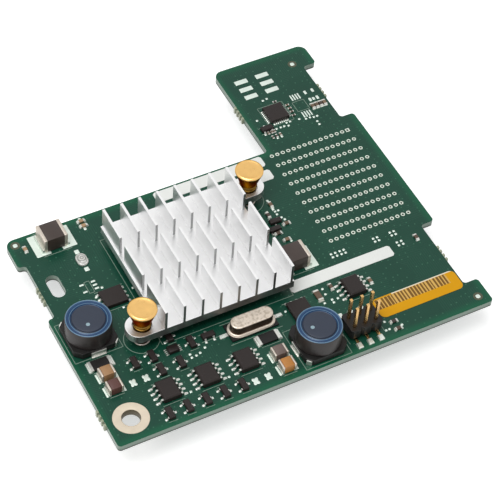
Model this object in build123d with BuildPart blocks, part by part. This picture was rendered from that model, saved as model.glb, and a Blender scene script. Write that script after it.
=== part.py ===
from build123d import *
import os

os.makedirs("parts", exist_ok=True)

MIN, MID, MAX = Align.MIN, Align.CENTER, Align.MAX

# Circuit board: an L-shaped panel with a mounting hole near its front left corner.
# The origin is on that hole's axis, on the board's underside. The board's width and depth
# are those of the pieces that stand in a row on it, with the room between them.
board_thickness = 1.6
hole_from_left = 5.2
hole_from_front = 5.35
tab_width = 23.9
tab_length = 27.3
left_step = 1.7
right_step = 3.4
corner_share = 0.45
back_corner_radius = 2.0
left_notch_shares = (0.602, 0.866)
right_notch_shares = (0.114, 0.426)
tab_notch_shares = (0.1, 0.76)

# Teeth left where the card was broken out of its panel
tooth_pitch = 1.2
tooth_width = 0.6
tooth_depth = 0.5
tooth_count = 4
left_teeth_shares = (0.135, 0.718)
right_teeth_share = 0.276
tab_left_teeth_share = 0.493
tab_right_teeth_share = 0.45

# Plated mounting hole and the slot beside it
hole_radius = 1.95
ring_width = 1.85
ring_thickness = 0.1
slot_width = 3.0
slot_length = 6.2
slot_share = 0.733

# Room between the pieces along the front edge, from the hole's ring to the right edge
ring_to_chip = 2.4
chip_to_chip = 2.25
chip_to_ceramic = 1.5
ceramic_to_coil = 1.0
coil_to_header = 0.79
header_to_label = 1.59
label_to_edge = 3.7

# Room between the pieces from the front edge to the back
coil_front_margin = 1.1
coil_to_power_chip = 0.8
power_chip_to_sink = 1.56
sink_back_margin = 8.09

# Room at the left edge, in the column beside it and round the connector
coil_left_margin = 1.0
coil_to_pin = 1.53
ceramic_to_ceramic = 1.2
ceramic_to_sense = 0.67
sense_to_coil = 0.73
field_right_margin = 2.5
field_back_margin = 0.27

# Copper pads and lands
pad_thickness = 0.08
land_radius = 0.5
land_side_count = 6
land_pitch = 1.4
land_row_pitch = 3.044
land_column_count = 15
land_row_count = 10

# Mezzanine connector under the lands
housing_margin = 1.5
housing_end_margin = 1.3
housing_height = 9.0
housing_floor = 2.0
housing_wall = 1.2
housing_corner = 0.8
blade_thickness = 0.9
blade_height = 5.8
contact_margin = 0.9
contact_thickness = 0.25
contact_height = 5.2

# Controller chip under the heatsink
chip_side = 25.0
substrate_height = 1.0
lid_inset = 1.5
lid_height = 1.6
thermal_pad_inset = 1.0
thermal_pad_height = 0.2

# Heatsink with rows of plate fins
sink_side = 30.6
sink_base = 2.0
fin_height = 5.2
fin_thickness = 0.6
fin_inset = 0.4
fin_count = 8
fin_segment_count = 3
cross_cut = 2.3
ear_half_width = 3.0
ear_reach = 0.6
pin_reach = 3.35

# Push pins, with springs between the board and the heatsink's ears
pin_height = 10.3
head_radius = 3.1
head_rim = 0.5
neck_radius = 1.85
neck_height = 2.7
shaft_radius = 1.2
shaft_clearance = 0.12
barb_radius = 1.75
barb_tip_radius = 0.8
barb_length = 3.4
flare_share = 0.75
neck_clearance = 0.22
seat_depth = 0.8
spring_outer_radius = 1.95
spring_clearance = 0.12

# Shielded power inductors
coil_base_side = 10.0
coil_base_height = 1.6
coil_base_cut = 1.5
coil_base_lift = 0.15
shield_radius = 4.9
shield_wall = 0.2
coil_height = 6.2
drum_radius = 3.65
epoxy_recess = 0.12
clip_width = 3.3
clip_height = 1.3
clip_thickness = 0.3
clip_foot = 0.6
corner_clip_width = 1.2

# Eight-lead chips
soic_shares = ((1.0, 0.413), (1.5, 0.413), (2.0, 0.413), (4.237, 0.803))
soic_width = 3.9
soic_length = 4.9
soic_height = 1.6
soic_lift = 0.15
soic_chamfer = 0.3
soic_toe = 3.3
soic_shoulder = 0.75
soic_lead_width = 0.42
soic_lead_thickness = 0.2
soic_lead_pitch = 1.27
soic_lead_count = 4

# Three-lead chips: a row of five along the front edge, and single ones
sot_width = 1.3
sot_length = 2.9
sot_height = 1.0
sot_lift = 0.06
sot_chamfer = 0.15
sot_toe = 1.25
sot_shoulder = 0.4
sot_lead_width = 0.42
sot_lead_thickness = 0.14
sot_lead_offset = 0.95
sot_row_shares = (1.351, 0.147)
sot_row_pitch = 4.14
sot_row_count = 5
sot_shares = (
    (0.789, 0.885, 0),
    (1.051, 0.885, 0),
    (1.314, 0.687, 0),
    (1.344, 1.033, 0),
    (1.548, 0.879, 180),
    (1.063, 0.687, 0),
    (1.769, 0.885, 90),
)
tab_sot_shares = (0.13, 0.225)
lead_bend_shares = (0.28, 0.52)

# Power switching chips with flat leads
power_left_shares = (0.785, 1.496)
power_right_share = 3.078
power_length = 5.1
power_width = 4.5
power_height = 1.0
power_chamfer = 0.1
power_lead_reach = 0.4
power_lead_width = 0.5
power_lead_height = 0.25
power_lead_pitch = 1.27

# Square chip on the tab
quad_shares = (0.305, 0.355)
quad_side = 4.7
quad_height = 0.95
quad_lead_reach = 0.35
quad_lead_width = 0.25
quad_lead_height = 0.2
quad_lead_pitch = 0.5
quad_lead_count = 8

# Quartz crystal
crystal_shares = (2.335, 0.814)
crystal_length = 9.7
crystal_width = 3.4
crystal_height = 3.1
crystal_rim = 0.6
crystal_rim_height = 0.35
crystal_base_height = 0.45
crystal_top_edge = 0.35
crystal_lead_width = 0.9
crystal_lead_height = 0.2
crystal_lead_reach = 1.6

# Ceramic capacitors, two by the left edge and two by the second inductor
ceramic_column_shares = (0.271, 0.677)
ceramic_right_shares = (0.338, 0.158)
ceramic_length = 3.2
ceramic_width = 2.5
ceramic_height = 2.1
ceramic_cap = 0.5
ceramic_pad_overhang = 0.6

# Current sensing resistors
sense_right_share = 0.586
sense_length = 5.0
sense_width = 2.5
sense_height = 0.6
sense_cap = 0.7

# Large ceramic capacitors
block_shares = ((0.5, 2.524), (2.338, 1.258))
block_length = 5.5
block_width = 4.9
block_height = 3.6
block_cap = 0.45
block_pad_overhang = 1.9
block_pad_width = 6.1
block_pad_length = 3.3

# Indicator lens near the slot
lens_shares = (0.69, 1.892)
lens_length = 3.4
lens_width = 2.4
lens_height = 1.0
lens_pad_length = 1.1
lens_pad_gap = 0.35

# Six-pin header
header_share = 0.295
header_pitch = 2.54
header_column_count = 3
header_row_count = 2
header_lift = 0.8
header_height = 2.5
header_cut = 0.5
post_side = 0.64
post_height = 9.2
foot_reach = 4.6
foot_height = 0.4

# Small two-ended chips, in front of the heatsink and beside it: share across, along, turn
front_chip_part_shares = (
    (3.954, 0.918, 90),
    (4.513, 0.81, 90),
    (4.454, 0.21, 0),
    (4.454, 0.105, 0),
)
side_chip_part_shares = (
    (3.753, 1.088, 90),
    (2.571, 1.794, 90),
    (2.621, 1.591, 0),
    (2.395, 1.532, 0),
    (2.425, 1.712, 90),
    (2.465, 1.457, 0),
    (0.917, 2.827, 0),
    (0.917, 2.655, 0),
    (0.176, 2.54, 90),
)
tab_chip_part_shares = (0.744, 0.304)
tab_chip_part_pitch = 1.013
tab_chip_part_count = 4
chip_part_length = 1.6
chip_part_width = 0.8
chip_part_height = 0.5
chip_part_cap = 0.35
long_part_shares = (3.596, 0.865)
long_part_length = 2.9
long_part_width = 1.3
long_part_height = 0.6
long_part_cap = 0.5

# Bare pads: a grid of six on the tab, an empty eight-pad place, test pads
grid_pad_shares = (0.313, 0.718)
grid_pad_length = 3.2
grid_pad_width = 1.3
grid_pad_pitch = 5.43
grid_pad_row_pitch = 2.55
grid_pad_column_count = 2
grid_pad_row_count = 3
slim_pad_shares = (0.585, 0.359)
slim_pad_width = 0.35
slim_pad_length = 1.8
slim_pad_pitch = 0.65
slim_pad_row_pitch = 5.8
slim_pad_count = 4
quad_pad_shares = (0.743, 0.432)
quad_pad_width = 0.6
quad_pad_length = 1.1
quad_pad_pitch = 1.9
quad_pad_row_pitch = 2.5
star_pad_shares = ((0.729, 0.669), (2.069, 0.141))
star_pad_width = 1.3
star_pad_length = 1.65
star_pad_pitch = 2.9
five_pad_shares = (0.609, 1.657)
five_pad_length = 1.0
five_pad_width = 0.45
five_pad_span = 2.64
five_pad_pitch = 1.0
mark_radius = 0.5
left_mark_shares = (0.098, 2.785)
right_mark_shares = (5.82, 0.121)
tab_mark_shares = (0.774, 0.824)

# Paper labels
label_thickness = 0.1
label_corner = 0.45
strip_shares = ((2.97, 1.06), (1.96, 2.749), (1.96, 2.232))
strip_lengths = (25.3, 26.9, 26.9)
strip_widths = (3.0, 3.1, 3.0)
gold_share = 0.43
gold_length = 20.4
gold_width = 5.25
gold_corner = 1.25

# The row along the front edge: ring, three chips, capacitors, inductor, header and label
coil_half = coil_base_side / 2
coil_side_reach = coil_half + clip_foot
ceramic_reach = ceramic_length / 2 + ceramic_pad_overhang
header_reach = header_column_count * header_pitch / 2
board_left = -hole_from_left
first_chip_x = hole_radius + ring_width + ring_to_chip + soic_toe
last_chip_x = first_chip_x + 2 * (2 * soic_toe + chip_to_chip)
right_ceramic_x = last_chip_x + soic_toe + chip_to_ceramic + ceramic_reach
right_coil_x = right_ceramic_x + ceramic_reach + ceramic_to_coil + coil_side_reach
header_x = right_coil_x + coil_side_reach + coil_to_header + header_reach
gold_x = header_x + header_reach + header_to_label + gold_length / 2
board_right = gold_x + gold_length / 2 + label_to_edge
board_width = board_right - board_left

# From the front edge to the back: inductor, power chip, heatsink and its margin
board_front = -hole_from_front
power_reach = power_length / 2 + power_lead_reach
right_coil_y = board_front + coil_front_margin + coil_half
right_power_y = right_coil_y + coil_half + coil_to_power_chip + power_reach
sink_front = right_power_y + power_reach + power_chip_to_sink
sink_back = sink_front + sink_side
board_back = sink_back + sink_back_margin
board_depth = board_back - board_front

# The heatsink beside the left inductor, and the connector by the right and back edges
left_coil_x = board_left + coil_left_margin + coil_half
sink_left = left_coil_x + coil_half + coil_to_pin + head_radius + pin_reach
sink_right = sink_left + sink_side
sink_x = sink_left + sink_side / 2
sink_y = sink_front + sink_side / 2
housing_width = (land_column_count - 1) * land_pitch + 2 * housing_margin
housing_length = (land_row_count - 1) * land_row_pitch + 2 * housing_end_margin
field_x = board_right - field_right_margin - housing_width / 2
field_y = board_back - field_back_margin - housing_length / 2
tab_left = board_right - tab_width
board_top = board_thickness

# Stations that places are given between, along the front row, beside the heatsink and in depth
front_row = (board_left, first_chip_x, last_chip_x, right_coil_x, header_x, gold_x, board_right)
side_row = (board_left, sink_left, sink_right, field_x - housing_width / 2, board_right)
depth_row = (board_front, sink_front, sink_back, board_back)


def between(stations, share):
    """Place between two stations: 2.4 is four tenths of the way from the third to the next."""
    start = int(share)
    return stations[start] + (share - start) * (stations[start + 1] - stations[start])


def spot(place, turn=0):
    """A place on the board's top face among the pieces of the front row."""
    x, y = between(front_row, place[0]), between(depth_row, place[1])
    return Location((x, y, board_top), (0, 0, turn))


def side_spot(place, turn=0):
    """A place on the board's top face beside the heatsink."""
    x, y = between(side_row, place[0]), between(depth_row, place[1])
    return Location((x, y, board_top), (0, 0, turn))


def edge_y(share):
    """Y of a share of the main board's depth, from its front edge."""
    return board_front + share * board_depth


def tab_y(share):
    """Y of a share of the tab's length, from the main board's back edge."""
    return board_back + share * tab_length


def tab_spot(place, turn=0):
    """A place on the tab's top face in shares of its width and length."""
    return Location((tab_left + place[0] * tab_width, tab_y(place[1]), board_top), (0, 0, turn))


def bent_lead(body_half, toe, shoulder, thickness, width):
    """One gull-wing lead: out of the body's side, down, and out again along the board."""
    knee, ankle = (body_half + share * (toe - body_half) for share in lead_bend_shares)
    with BuildPart() as lead:
        with BuildSketch(Plane.XZ):
            with BuildLine():
                Polyline(
                    (body_half, shoulder),
                    (knee - thickness / 2, shoulder),
                    (ankle - thickness / 2, 0),
                    (toe, 0),
                    (toe, thickness),
                    (ankle + thickness / 2, thickness),
                    (knee + thickness / 2, shoulder + thickness),
                    (body_half, shoulder + thickness),
                    close=True,
                )
            make_face()
        extrude(amount=width / 2, both=True)
    return lead.part


# Board outline with its stepped edges, the teeth of the break-out tabs and all holes
pin_x = sink_side / 2 + pin_reach
pin_y = sink_side / 2 - ear_half_width
pin_places = ((sink_x - pin_x, sink_y - pin_y), (sink_x + pin_x, sink_y + pin_y))
corner_radius = corner_share * min(left_step, right_step)
slot_y = edge_y(slot_share)
teeth_places = (
    (board_left, edge_y(left_teeth_shares[0])),
    (board_left + left_step, edge_y(left_teeth_shares[1])),
    (board_right - right_step, edge_y(right_teeth_share)),
    (tab_left, tab_y(tab_left_teeth_share)),
    (board_right - right_step, tab_y(tab_right_teeth_share)),
)
with BuildPart() as board:
    with BuildSketch() as outline:
        with Locations((board_left, board_front)):
            Rectangle(board_width, board_depth, align=(MIN, MIN))
        with Locations((tab_left, board_back)):
            Rectangle(tab_width, tab_length, align=(MIN, MIN))
        with Locations((board_left, edge_y(left_notch_shares[0]))):
            Rectangle(
                left_step,
                board_depth * (left_notch_shares[1] - left_notch_shares[0]),
                align=(MIN, MIN),
                mode=Mode.SUBTRACT,
            )
        with Locations((board_right, edge_y(right_notch_shares[0]))):
            Rectangle(
                right_step,
                board_depth * (right_notch_shares[1] - right_notch_shares[0]),
                align=(MAX, MIN),
                mode=Mode.SUBTRACT,
            )
        with Locations((board_right, tab_y(tab_notch_shares[0]))):
            Rectangle(
                right_step,
                tab_length * (tab_notch_shares[1] - tab_notch_shares[0]),
                align=(MAX, MIN),
                mode=Mode.SUBTRACT,
            )
        back_left = outline.vertices().group_by(Axis.X)[0].sort_by(Axis.Y)[-1]
        large = outline.vertices().group_by(Axis.Y)[-1] + [back_left]
        fillet([corner for corner in outline.vertices() if corner not in large], corner_radius)
        fillet(outline.vertices().group_by(Axis.Y)[-1], back_corner_radius)
        fillet(outline.vertices().group_by(Axis.X)[0].sort_by(Axis.Y)[-1], back_corner_radius)
        with Locations(*teeth_places):
            with GridLocations(tooth_pitch, tooth_pitch, 1, tooth_count):
                Rectangle(2 * tooth_depth, tooth_width)
    extrude(amount=board_thickness)
    with BuildSketch():
        Circle(hole_radius)
        with Locations((0, slot_y)):
            SlotOverall(slot_length, slot_width, rotation=90)
        with Locations(*pin_places):
            Circle(shaft_radius + shaft_clearance)
    extrude(amount=board_thickness, mode=Mode.SUBTRACT)
board.part.label = "circuit_board"
export_step(board.part, "parts/circuit_board.step")

# Tin plating round the hole: a ring on each face
with BuildPart() as plating:
    with Locations((0, 0, -ring_thickness), (0, 0, board_top)):
        Cylinder(hole_radius + ring_width, ring_thickness, align=(MID, MID, MIN))
    Hole(hole_radius)
plating.part.label = "hole_plating"
export_step(plating.part, "parts/hole_plating.step")

# Lands on the connector's tails, one for each of its contacts
with BuildPart() as lands:
    with BuildSketch(Plane.XY.offset(board_top)):
        with Locations((field_x, field_y)):
            with GridLocations(land_pitch, land_row_pitch, land_column_count, land_row_count):
                RegularPolygon(land_radius, land_side_count)
    extrude(amount=pad_thickness)
lands.part.label = "connector_lands"
export_step(lands.part, "parts/connector_lands.step")

# Connector housing on the underside, open below, with one blade for each row
cavity_width = housing_width - 2 * housing_wall
cavity_length = housing_length - 2 * housing_wall
blade_pitch = cavity_length / land_row_count
with BuildPart() as housing:
    with BuildSketch() as shell:
        with Locations((field_x, field_y)):
            Rectangle(housing_width, housing_length)
        chamfer(shell.vertices(), housing_corner)
    extrude(amount=-housing_height)
    with BuildSketch(Plane.XY.offset(-housing_height)):
        with Locations((field_x, field_y)):
            Rectangle(cavity_width, cavity_length)
    extrude(amount=housing_height - housing_floor, mode=Mode.SUBTRACT)
    with Locations((field_x, field_y, -housing_floor)):
        with GridLocations(blade_pitch, blade_pitch, 1, land_row_count):
            Box(cavity_width, blade_thickness, blade_height, align=(MID, MID, MAX))
housing.part.label = "connector_housing"
export_step(housing.part, "parts/connector_housing.step")

# Contacts: a flat row of them on one face of each blade
contact_y = field_y - blade_thickness / 2 - contact_thickness / 2
contact_row_length = cavity_width - 2 * contact_margin
with BuildPart() as contacts:
    with Locations((field_x, contact_y, -housing_floor)):
        with GridLocations(blade_pitch, blade_pitch, 1, land_row_count):
            Box(contact_row_length, contact_thickness, contact_height, align=(MID, MID, MAX))
contacts.part.label = "connector_contact_rows"
export_step(contacts.part, "parts/connector_contact_rows.step")

# Controller chip: substrate, metal lid and the thermal pad on top
lid_bottom = board_top + substrate_height
lid_side = chip_side - 2 * lid_inset
thermal_pad_bottom = lid_bottom + lid_height
sink_bottom = thermal_pad_bottom + thermal_pad_height
sink_top = sink_bottom + sink_base
with BuildPart() as substrate:
    with Locations((sink_x, sink_y, board_top)):
        Box(chip_side, chip_side, substrate_height, align=(MID, MID, MIN))
substrate.part.label = "chip_substrate"
export_step(substrate.part, "parts/chip_substrate.step")

with BuildPart() as lid:
    with Locations((sink_x, sink_y, lid_bottom)):
        Box(lid_side, lid_side, lid_height, align=(MID, MID, MIN))
lid.part.label = "chip_lid"
export_step(lid.part, "parts/chip_lid.step")

with BuildPart() as thermal_pad:
    with Locations((sink_x, sink_y, thermal_pad_bottom)):
        thermal_pad_side = lid_side - 2 * thermal_pad_inset
        Box(thermal_pad_side, thermal_pad_side, thermal_pad_height, align=(MID, MID, MIN))
thermal_pad.part.label = "thermal_pad"
export_step(thermal_pad.part, "parts/thermal_pad.step")

# Heatsink: base plate with two ears, cross-cut plate fins, and a seat for a pin in each ear
fin_pitch = (sink_side - 2 * fin_inset - fin_thickness) / (fin_count - 1)
segment_length = (sink_side - (fin_segment_count - 1) * cross_cut) / fin_segment_count
ear_inner = sink_side / 2 - ear_half_width
ear_outer = pin_x + ear_reach
ear_middle = (ear_inner + ear_outer) / 2
with BuildPart() as heatsink:
    with BuildSketch(Plane.XY.offset(sink_bottom)):
        with Locations((sink_x, sink_y)):
            Rectangle(sink_side, sink_side)
        with Locations((sink_x - ear_middle, sink_y - pin_y), (sink_x + ear_middle, sink_y + pin_y)):
            SlotCenterToCenter(ear_outer - ear_inner, 2 * ear_half_width)
    extrude(amount=sink_base)
    with Locations(*((x, y, sink_top) for x, y in pin_places)):
        CounterBoreHole(shaft_radius + shaft_clearance, neck_radius + neck_clearance, seat_depth)
    with Locations((sink_x, sink_y, sink_top)):
        with GridLocations(fin_pitch, segment_length + cross_cut, fin_count, fin_segment_count):
            Box(fin_thickness, segment_length, fin_height, align=(MID, MID, MIN))
heatsink.part.label = "heatsink"
export_step(heatsink.part, "parts/heatsink.step")

# Push pins: a flared head, a neck seated in the ear, a shaft, and a barb under the board
neck_bottom = sink_top - seat_depth
neck_top = neck_bottom + neck_height
head_bottom = board_top + pin_height - head_rim
head_top = board_top + pin_height
flare_middle_radius = neck_radius + (head_radius - neck_radius) * (1 - flare_share)
flare_middle = neck_top + (head_bottom - neck_top) * flare_share
with BuildPart() as one_pin:
    with BuildSketch(Plane.XZ):
        with BuildLine():
            Polyline(
                (0, head_top),
                (0, -barb_length),
                (barb_tip_radius, -barb_length),
                (barb_radius, 0),
                (shaft_radius, 0),
                (shaft_radius, neck_bottom),
                (neck_radius, neck_bottom),
                (neck_radius, neck_top),
                (flare_middle_radius, flare_middle),
                (head_radius, head_bottom),
                (head_radius, head_top),
                close=True,
            )
        make_face()
    revolve(axis=Axis.Z)
with BuildPart() as push_pins:
    with Locations(*pin_places):
        add(one_pin.part)
push_pins.part.label = "push_pins"
export_step(push_pins.part, "parts/push_pins.step")

# Springs round the shafts, under the ears
with BuildPart() as springs:
    with BuildSketch(Plane.XY.offset(board_top)):
        with Locations(*pin_places):
            Circle(spring_outer_radius)
            Circle(shaft_radius + spring_clearance, mode=Mode.SUBTRACT)
    extrude(amount=sink_bottom - board_top)
springs.part.label = "pin_springs"
export_step(springs.part, "parts/pin_springs.step")

# Inductors: base, drum, shield ring and the epoxy between them
left_ceramic_x = between(side_row, ceramic_column_shares[0])
first_ceramic_y = between(depth_row, ceramic_column_shares[1])
second_ceramic_y = first_ceramic_y + ceramic_width + ceramic_to_ceramic
left_sense_y = second_ceramic_y + (ceramic_width + sense_width) / 2 + ceramic_to_sense
left_coil_y = left_sense_y + sense_width / 2 + sense_to_coil + coil_side_reach
inductor_spots = [
    Location((left_coil_x, left_coil_y, board_top)),
    Location((right_coil_x, right_coil_y, board_top), (0, 0, 90)),
]
coil_floor = coil_base_lift + coil_base_height
with BuildPart() as coil_bases:
    with Locations(*inductor_spots):
        with Locations((0, 0, coil_base_lift)):
            Box(coil_base_side, coil_base_side, coil_base_height, align=(MID, MID, MIN))
    chamfer(coil_bases.edges().filter_by(Axis.Z), coil_base_cut)
coil_bases.part.label = "inductor_bases"
export_step(coil_bases.part, "parts/inductor_bases.step")

with BuildPart() as shields:
    with Locations(*inductor_spots):
        with Locations((0, 0, coil_floor)):
            Cylinder(shield_radius, coil_height - coil_floor, align=(MID, MID, MIN))
            Cylinder(
                shield_radius - shield_wall, coil_height - coil_floor,
                align=(MID, MID, MIN), mode=Mode.SUBTRACT,
            )
shields.part.label = "inductor_shields"
export_step(shields.part, "parts/inductor_shields.step")

with BuildPart() as drums:
    with Locations(*inductor_spots):
        with Locations((0, 0, coil_floor)):
            Cylinder(drum_radius, coil_height - coil_floor, align=(MID, MID, MIN))
drums.part.label = "inductor_drums"
export_step(drums.part, "parts/inductor_drums.step")

epoxy_height = coil_height - coil_floor - epoxy_recess
with BuildPart() as epoxy:
    with Locations(*inductor_spots):
        with Locations((0, 0, coil_floor)):
            Cylinder(shield_radius - shield_wall, epoxy_height, align=(MID, MID, MIN))
            Cylinder(drum_radius, epoxy_height, align=(MID, MID, MIN), mode=Mode.SUBTRACT)
epoxy.part.label = "inductor_epoxy_rings"
export_step(epoxy.part, "parts/inductor_epoxy_rings.step")

# Terminals: a clip with a foot on two sides of each base, and one on two of its cut corners
clip_y = (coil_base_side + clip_thickness) / 2
corner_face = (coil_base_side - coil_base_cut) / 2
corner_offset = corner_face + clip_thickness / 2 * 0.5**0.5
corner_clip_height = coil_base_lift + clip_height
with BuildPart() as terminals:
    with Locations(*inductor_spots):
        with Locations((0, clip_y, 0), (0, -clip_y, 0)):
            Box(clip_width, clip_thickness, clip_height, align=(MID, MID, MIN))
        foot_y = coil_base_side / 2 + clip_foot / 2
        with Locations((0, foot_y, 0), (0, -foot_y, 0)):
            Box(clip_width, clip_foot, coil_base_lift, align=(MID, MID, MIN))
        with Locations(
            Location((-corner_offset, corner_offset, 0), (0, 0, 45)),
            Location((corner_offset, -corner_offset, 0), (0, 0, 45)),
        ):
            Box(corner_clip_width, clip_thickness, corner_clip_height, align=(MID, MID, MIN))
terminals.part.label = "inductor_terminals"
export_step(terminals.part, "parts/inductor_terminals.step")

# Eight-lead chips: bodies and bent leads
soic_spots = [spot(place) for place in soic_shares]
with BuildPart() as soic_bodies:
    with Locations(*soic_spots):
        with Locations((0, 0, soic_lift)):
            Box(soic_width, soic_length, soic_height - soic_lift, align=(MID, MID, MIN))
    chamfer(soic_bodies.faces().group_by(Axis.Z)[-1].edges(), soic_chamfer)
soic_bodies.part.label = "soic_bodies"
export_step(soic_bodies.part, "parts/soic_bodies.step")

soic_lead = bent_lead(
    soic_width / 2, soic_toe, soic_shoulder, soic_lead_thickness, soic_lead_width
)
with BuildPart() as soic_leads:
    with Locations(*soic_spots):
        with Locations(Location((0, 0, 0)), Location((0, 0, 0), (0, 0, 180))):
            with GridLocations(soic_lead_pitch, soic_lead_pitch, 1, soic_lead_count):
                add(soic_lead)
soic_leads.part.label = "soic_leads"
export_step(soic_leads.part, "parts/soic_leads.step")

# Three-lead chips: two leads on one side and one on the other
sot_spots = [spot(place, place[2]) for place in sot_shares]
sot_spots.append(tab_spot(tab_sot_shares, 90))
for index in range(sot_row_count):
    row_offset = (index - (sot_row_count - 1) / 2) * sot_row_pitch
    sot_spots.append(spot(sot_row_shares) * Location((row_offset, 0, 0)))
with BuildPart() as sot_bodies:
    with Locations(*sot_spots):
        with Locations((0, 0, sot_lift)):
            Box(sot_width, sot_length, sot_height - sot_lift, align=(MID, MID, MIN))
    chamfer(sot_bodies.faces().group_by(Axis.Z)[-1].edges(), sot_chamfer)
sot_bodies.part.label = "sot_bodies"
export_step(sot_bodies.part, "parts/sot_bodies.step")

sot_lead = bent_lead(sot_width / 2, sot_toe, sot_shoulder, sot_lead_thickness, sot_lead_width)
with BuildPart() as sot_leads:
    with Locations(*sot_spots):
        with Locations(
            Location((0, 0, 0)),
            Location((0, sot_lead_offset, 0), (0, 0, 180)),
            Location((0, -sot_lead_offset, 0), (0, 0, 180)),
        ):
            add(sot_lead)
sot_leads.part.label = "sot_leads"
export_step(sot_leads.part, "parts/sot_leads.step")

# Power switching chips: flat bodies with four leads on each end
right_power_x = between(front_row, power_right_share)
power_spots = [
    side_spot(power_left_shares),
    Location((right_power_x, right_power_y, board_top), (0, 0, 90)),
]
with BuildPart() as power_bodies:
    with Locations(*power_spots):
        Box(power_length, power_width, power_height, align=(MID, MID, MIN))
    chamfer(power_bodies.faces().group_by(Axis.Z)[-1].edges(), power_chamfer)
power_bodies.part.label = "power_chip_bodies"
export_step(power_bodies.part, "parts/power_chip_bodies.step")

with BuildPart() as power_leads:
    with Locations(*power_spots):
        with GridLocations(power_length + power_lead_reach, power_lead_pitch, 2, 4):
            Box(power_lead_reach, power_lead_width, power_lead_height, align=(MID, MID, MIN))
power_leads.part.label = "power_chip_leads"
export_step(power_leads.part, "parts/power_chip_leads.step")

# Square chip on the tab, with flat leads on all four sides
with BuildPart() as quad_body:
    with Locations(tab_spot(quad_shares)):
        Box(quad_side, quad_side, quad_height, align=(MID, MID, MIN))
quad_body.part.label = "quad_chip_body"
export_step(quad_body.part, "parts/quad_chip_body.step")

with BuildPart() as quad_leads:
    with Locations(tab_spot(quad_shares), tab_spot(quad_shares, 90)):
        with GridLocations(quad_side + quad_lead_reach, quad_lead_pitch, 2, quad_lead_count):
            Box(quad_lead_reach, quad_lead_width, quad_lead_height, align=(MID, MID, MIN))
quad_leads.part.label = "quad_chip_leads"
export_step(quad_leads.part, "parts/quad_chip_leads.step")

# Crystal: insulating base, rimmed metal can, and a flat lead at each end
crystal_spot = spot(crystal_shares)
rim_length = crystal_length + 2 * crystal_rim
rim_width = crystal_width + 2 * crystal_rim
with BuildPart() as crystal_can:
    with BuildSketch(Plane(crystal_spot).offset(crystal_base_height)):
        SlotOverall(rim_length, rim_width)
    extrude(amount=crystal_rim_height)
    with BuildSketch(Plane(crystal_spot).offset(crystal_base_height)):
        SlotOverall(crystal_length, crystal_width)
    extrude(amount=crystal_height - crystal_base_height)
    chamfer(crystal_can.faces().sort_by(Axis.Z)[-1].edges(), crystal_top_edge)
crystal_can.part.label = "crystal_can"
export_step(crystal_can.part, "parts/crystal_can.step")

with BuildPart() as crystal_base:
    with Locations(crystal_spot):
        Box(rim_length, rim_width, crystal_base_height, align=(MID, MID, MIN))
crystal_base.part.label = "crystal_base"
export_step(crystal_base.part, "parts/crystal_base.step")

with BuildPart() as crystal_leads:
    with Locations(crystal_spot):
        with GridLocations(rim_length + crystal_lead_reach, crystal_width, 2, 1):
            Box(crystal_lead_reach, crystal_lead_width, crystal_lead_height, align=(MID, MID, MIN))
crystal_leads.part.label = "crystal_leads"
export_step(crystal_leads.part, "parts/crystal_leads.step")

# Ceramic capacitors on wide pads: fired bodies between two metal end caps
ceramic_spots = [
    Location((left_ceramic_x, first_ceramic_y, board_top)),
    Location((left_ceramic_x, second_ceramic_y, board_top)),
    *(
        Location((right_ceramic_x, between(depth_row, share), board_top))
        for share in ceramic_right_shares
    ),
]
ceramic_core = ceramic_length - 2 * ceramic_cap
with BuildPart() as ceramic_bodies:
    with Locations(*ceramic_spots):
        with Locations((0, 0, pad_thickness)):
            Box(ceramic_core, ceramic_width, ceramic_height, align=(MID, MID, MIN))
ceramic_bodies.part.label = "ceramic_capacitor_bodies"
export_step(ceramic_bodies.part, "parts/ceramic_capacitor_bodies.step")

with BuildPart() as ceramic_caps:
    with Locations(*ceramic_spots):
        with Locations((0, 0, pad_thickness)):
            with GridLocations(ceramic_core + ceramic_cap, ceramic_width, 2, 1):
                Box(ceramic_cap, ceramic_width, ceramic_height, align=(MID, MID, MIN))
ceramic_caps.part.label = "ceramic_capacitor_caps"
export_step(ceramic_caps.part, "parts/ceramic_capacitor_caps.step")

# Current sensing resistors: thin dark bodies with metal ends
sense_spots = [
    Location((left_ceramic_x, left_sense_y, board_top)),
    Location((right_ceramic_x, between(depth_row, sense_right_share), board_top)),
]
sense_core = sense_length - 2 * sense_cap
with BuildPart() as sense_bodies:
    with Locations(*sense_spots):
        Box(sense_core, sense_width, sense_height, align=(MID, MID, MIN))
sense_bodies.part.label = "sense_resistor_bodies"
export_step(sense_bodies.part, "parts/sense_resistor_bodies.step")

with BuildPart() as sense_caps:
    with Locations(*sense_spots):
        with GridLocations(sense_core + sense_cap, sense_width, 2, 1):
            Box(sense_cap, sense_width, sense_height, align=(MID, MID, MIN))
sense_caps.part.label = "sense_resistor_ends"
export_step(sense_caps.part, "parts/sense_resistor_ends.step")

# Large ceramic capacitors: dark bodies between two metal end caps
block_spots = [side_spot(place) for place in block_shares]
block_core = block_length - 2 * block_cap
with BuildPart() as block_bodies:
    with Locations(*block_spots):
        with Locations((0, 0, pad_thickness)):
            Box(block_core, block_width, block_height, align=(MID, MID, MIN))
block_bodies.part.label = "block_capacitor_bodies"
export_step(block_bodies.part, "parts/block_capacitor_bodies.step")

with BuildPart() as block_clips:
    with Locations(*block_spots):
        with Locations((0, 0, pad_thickness)):
            with GridLocations(block_core + block_cap, block_width, 2, 1):
                Box(block_cap, block_width, block_height, align=(MID, MID, MIN))
block_clips.part.label = "block_capacitor_clips"
export_step(block_clips.part, "parts/block_capacitor_clips.step")

# Indicator lens: a low oval dome-like body between two pads
lens_spot = side_spot(lens_shares)
with BuildPart() as lens:
    with BuildSketch(Plane(lens_spot)):
        SlotOverall(lens_length, lens_width, rotation=90)
    extrude(amount=lens_height)
lens.part.label = "indicator_lens"
export_step(lens.part, "parts/indicator_lens.step")

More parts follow.
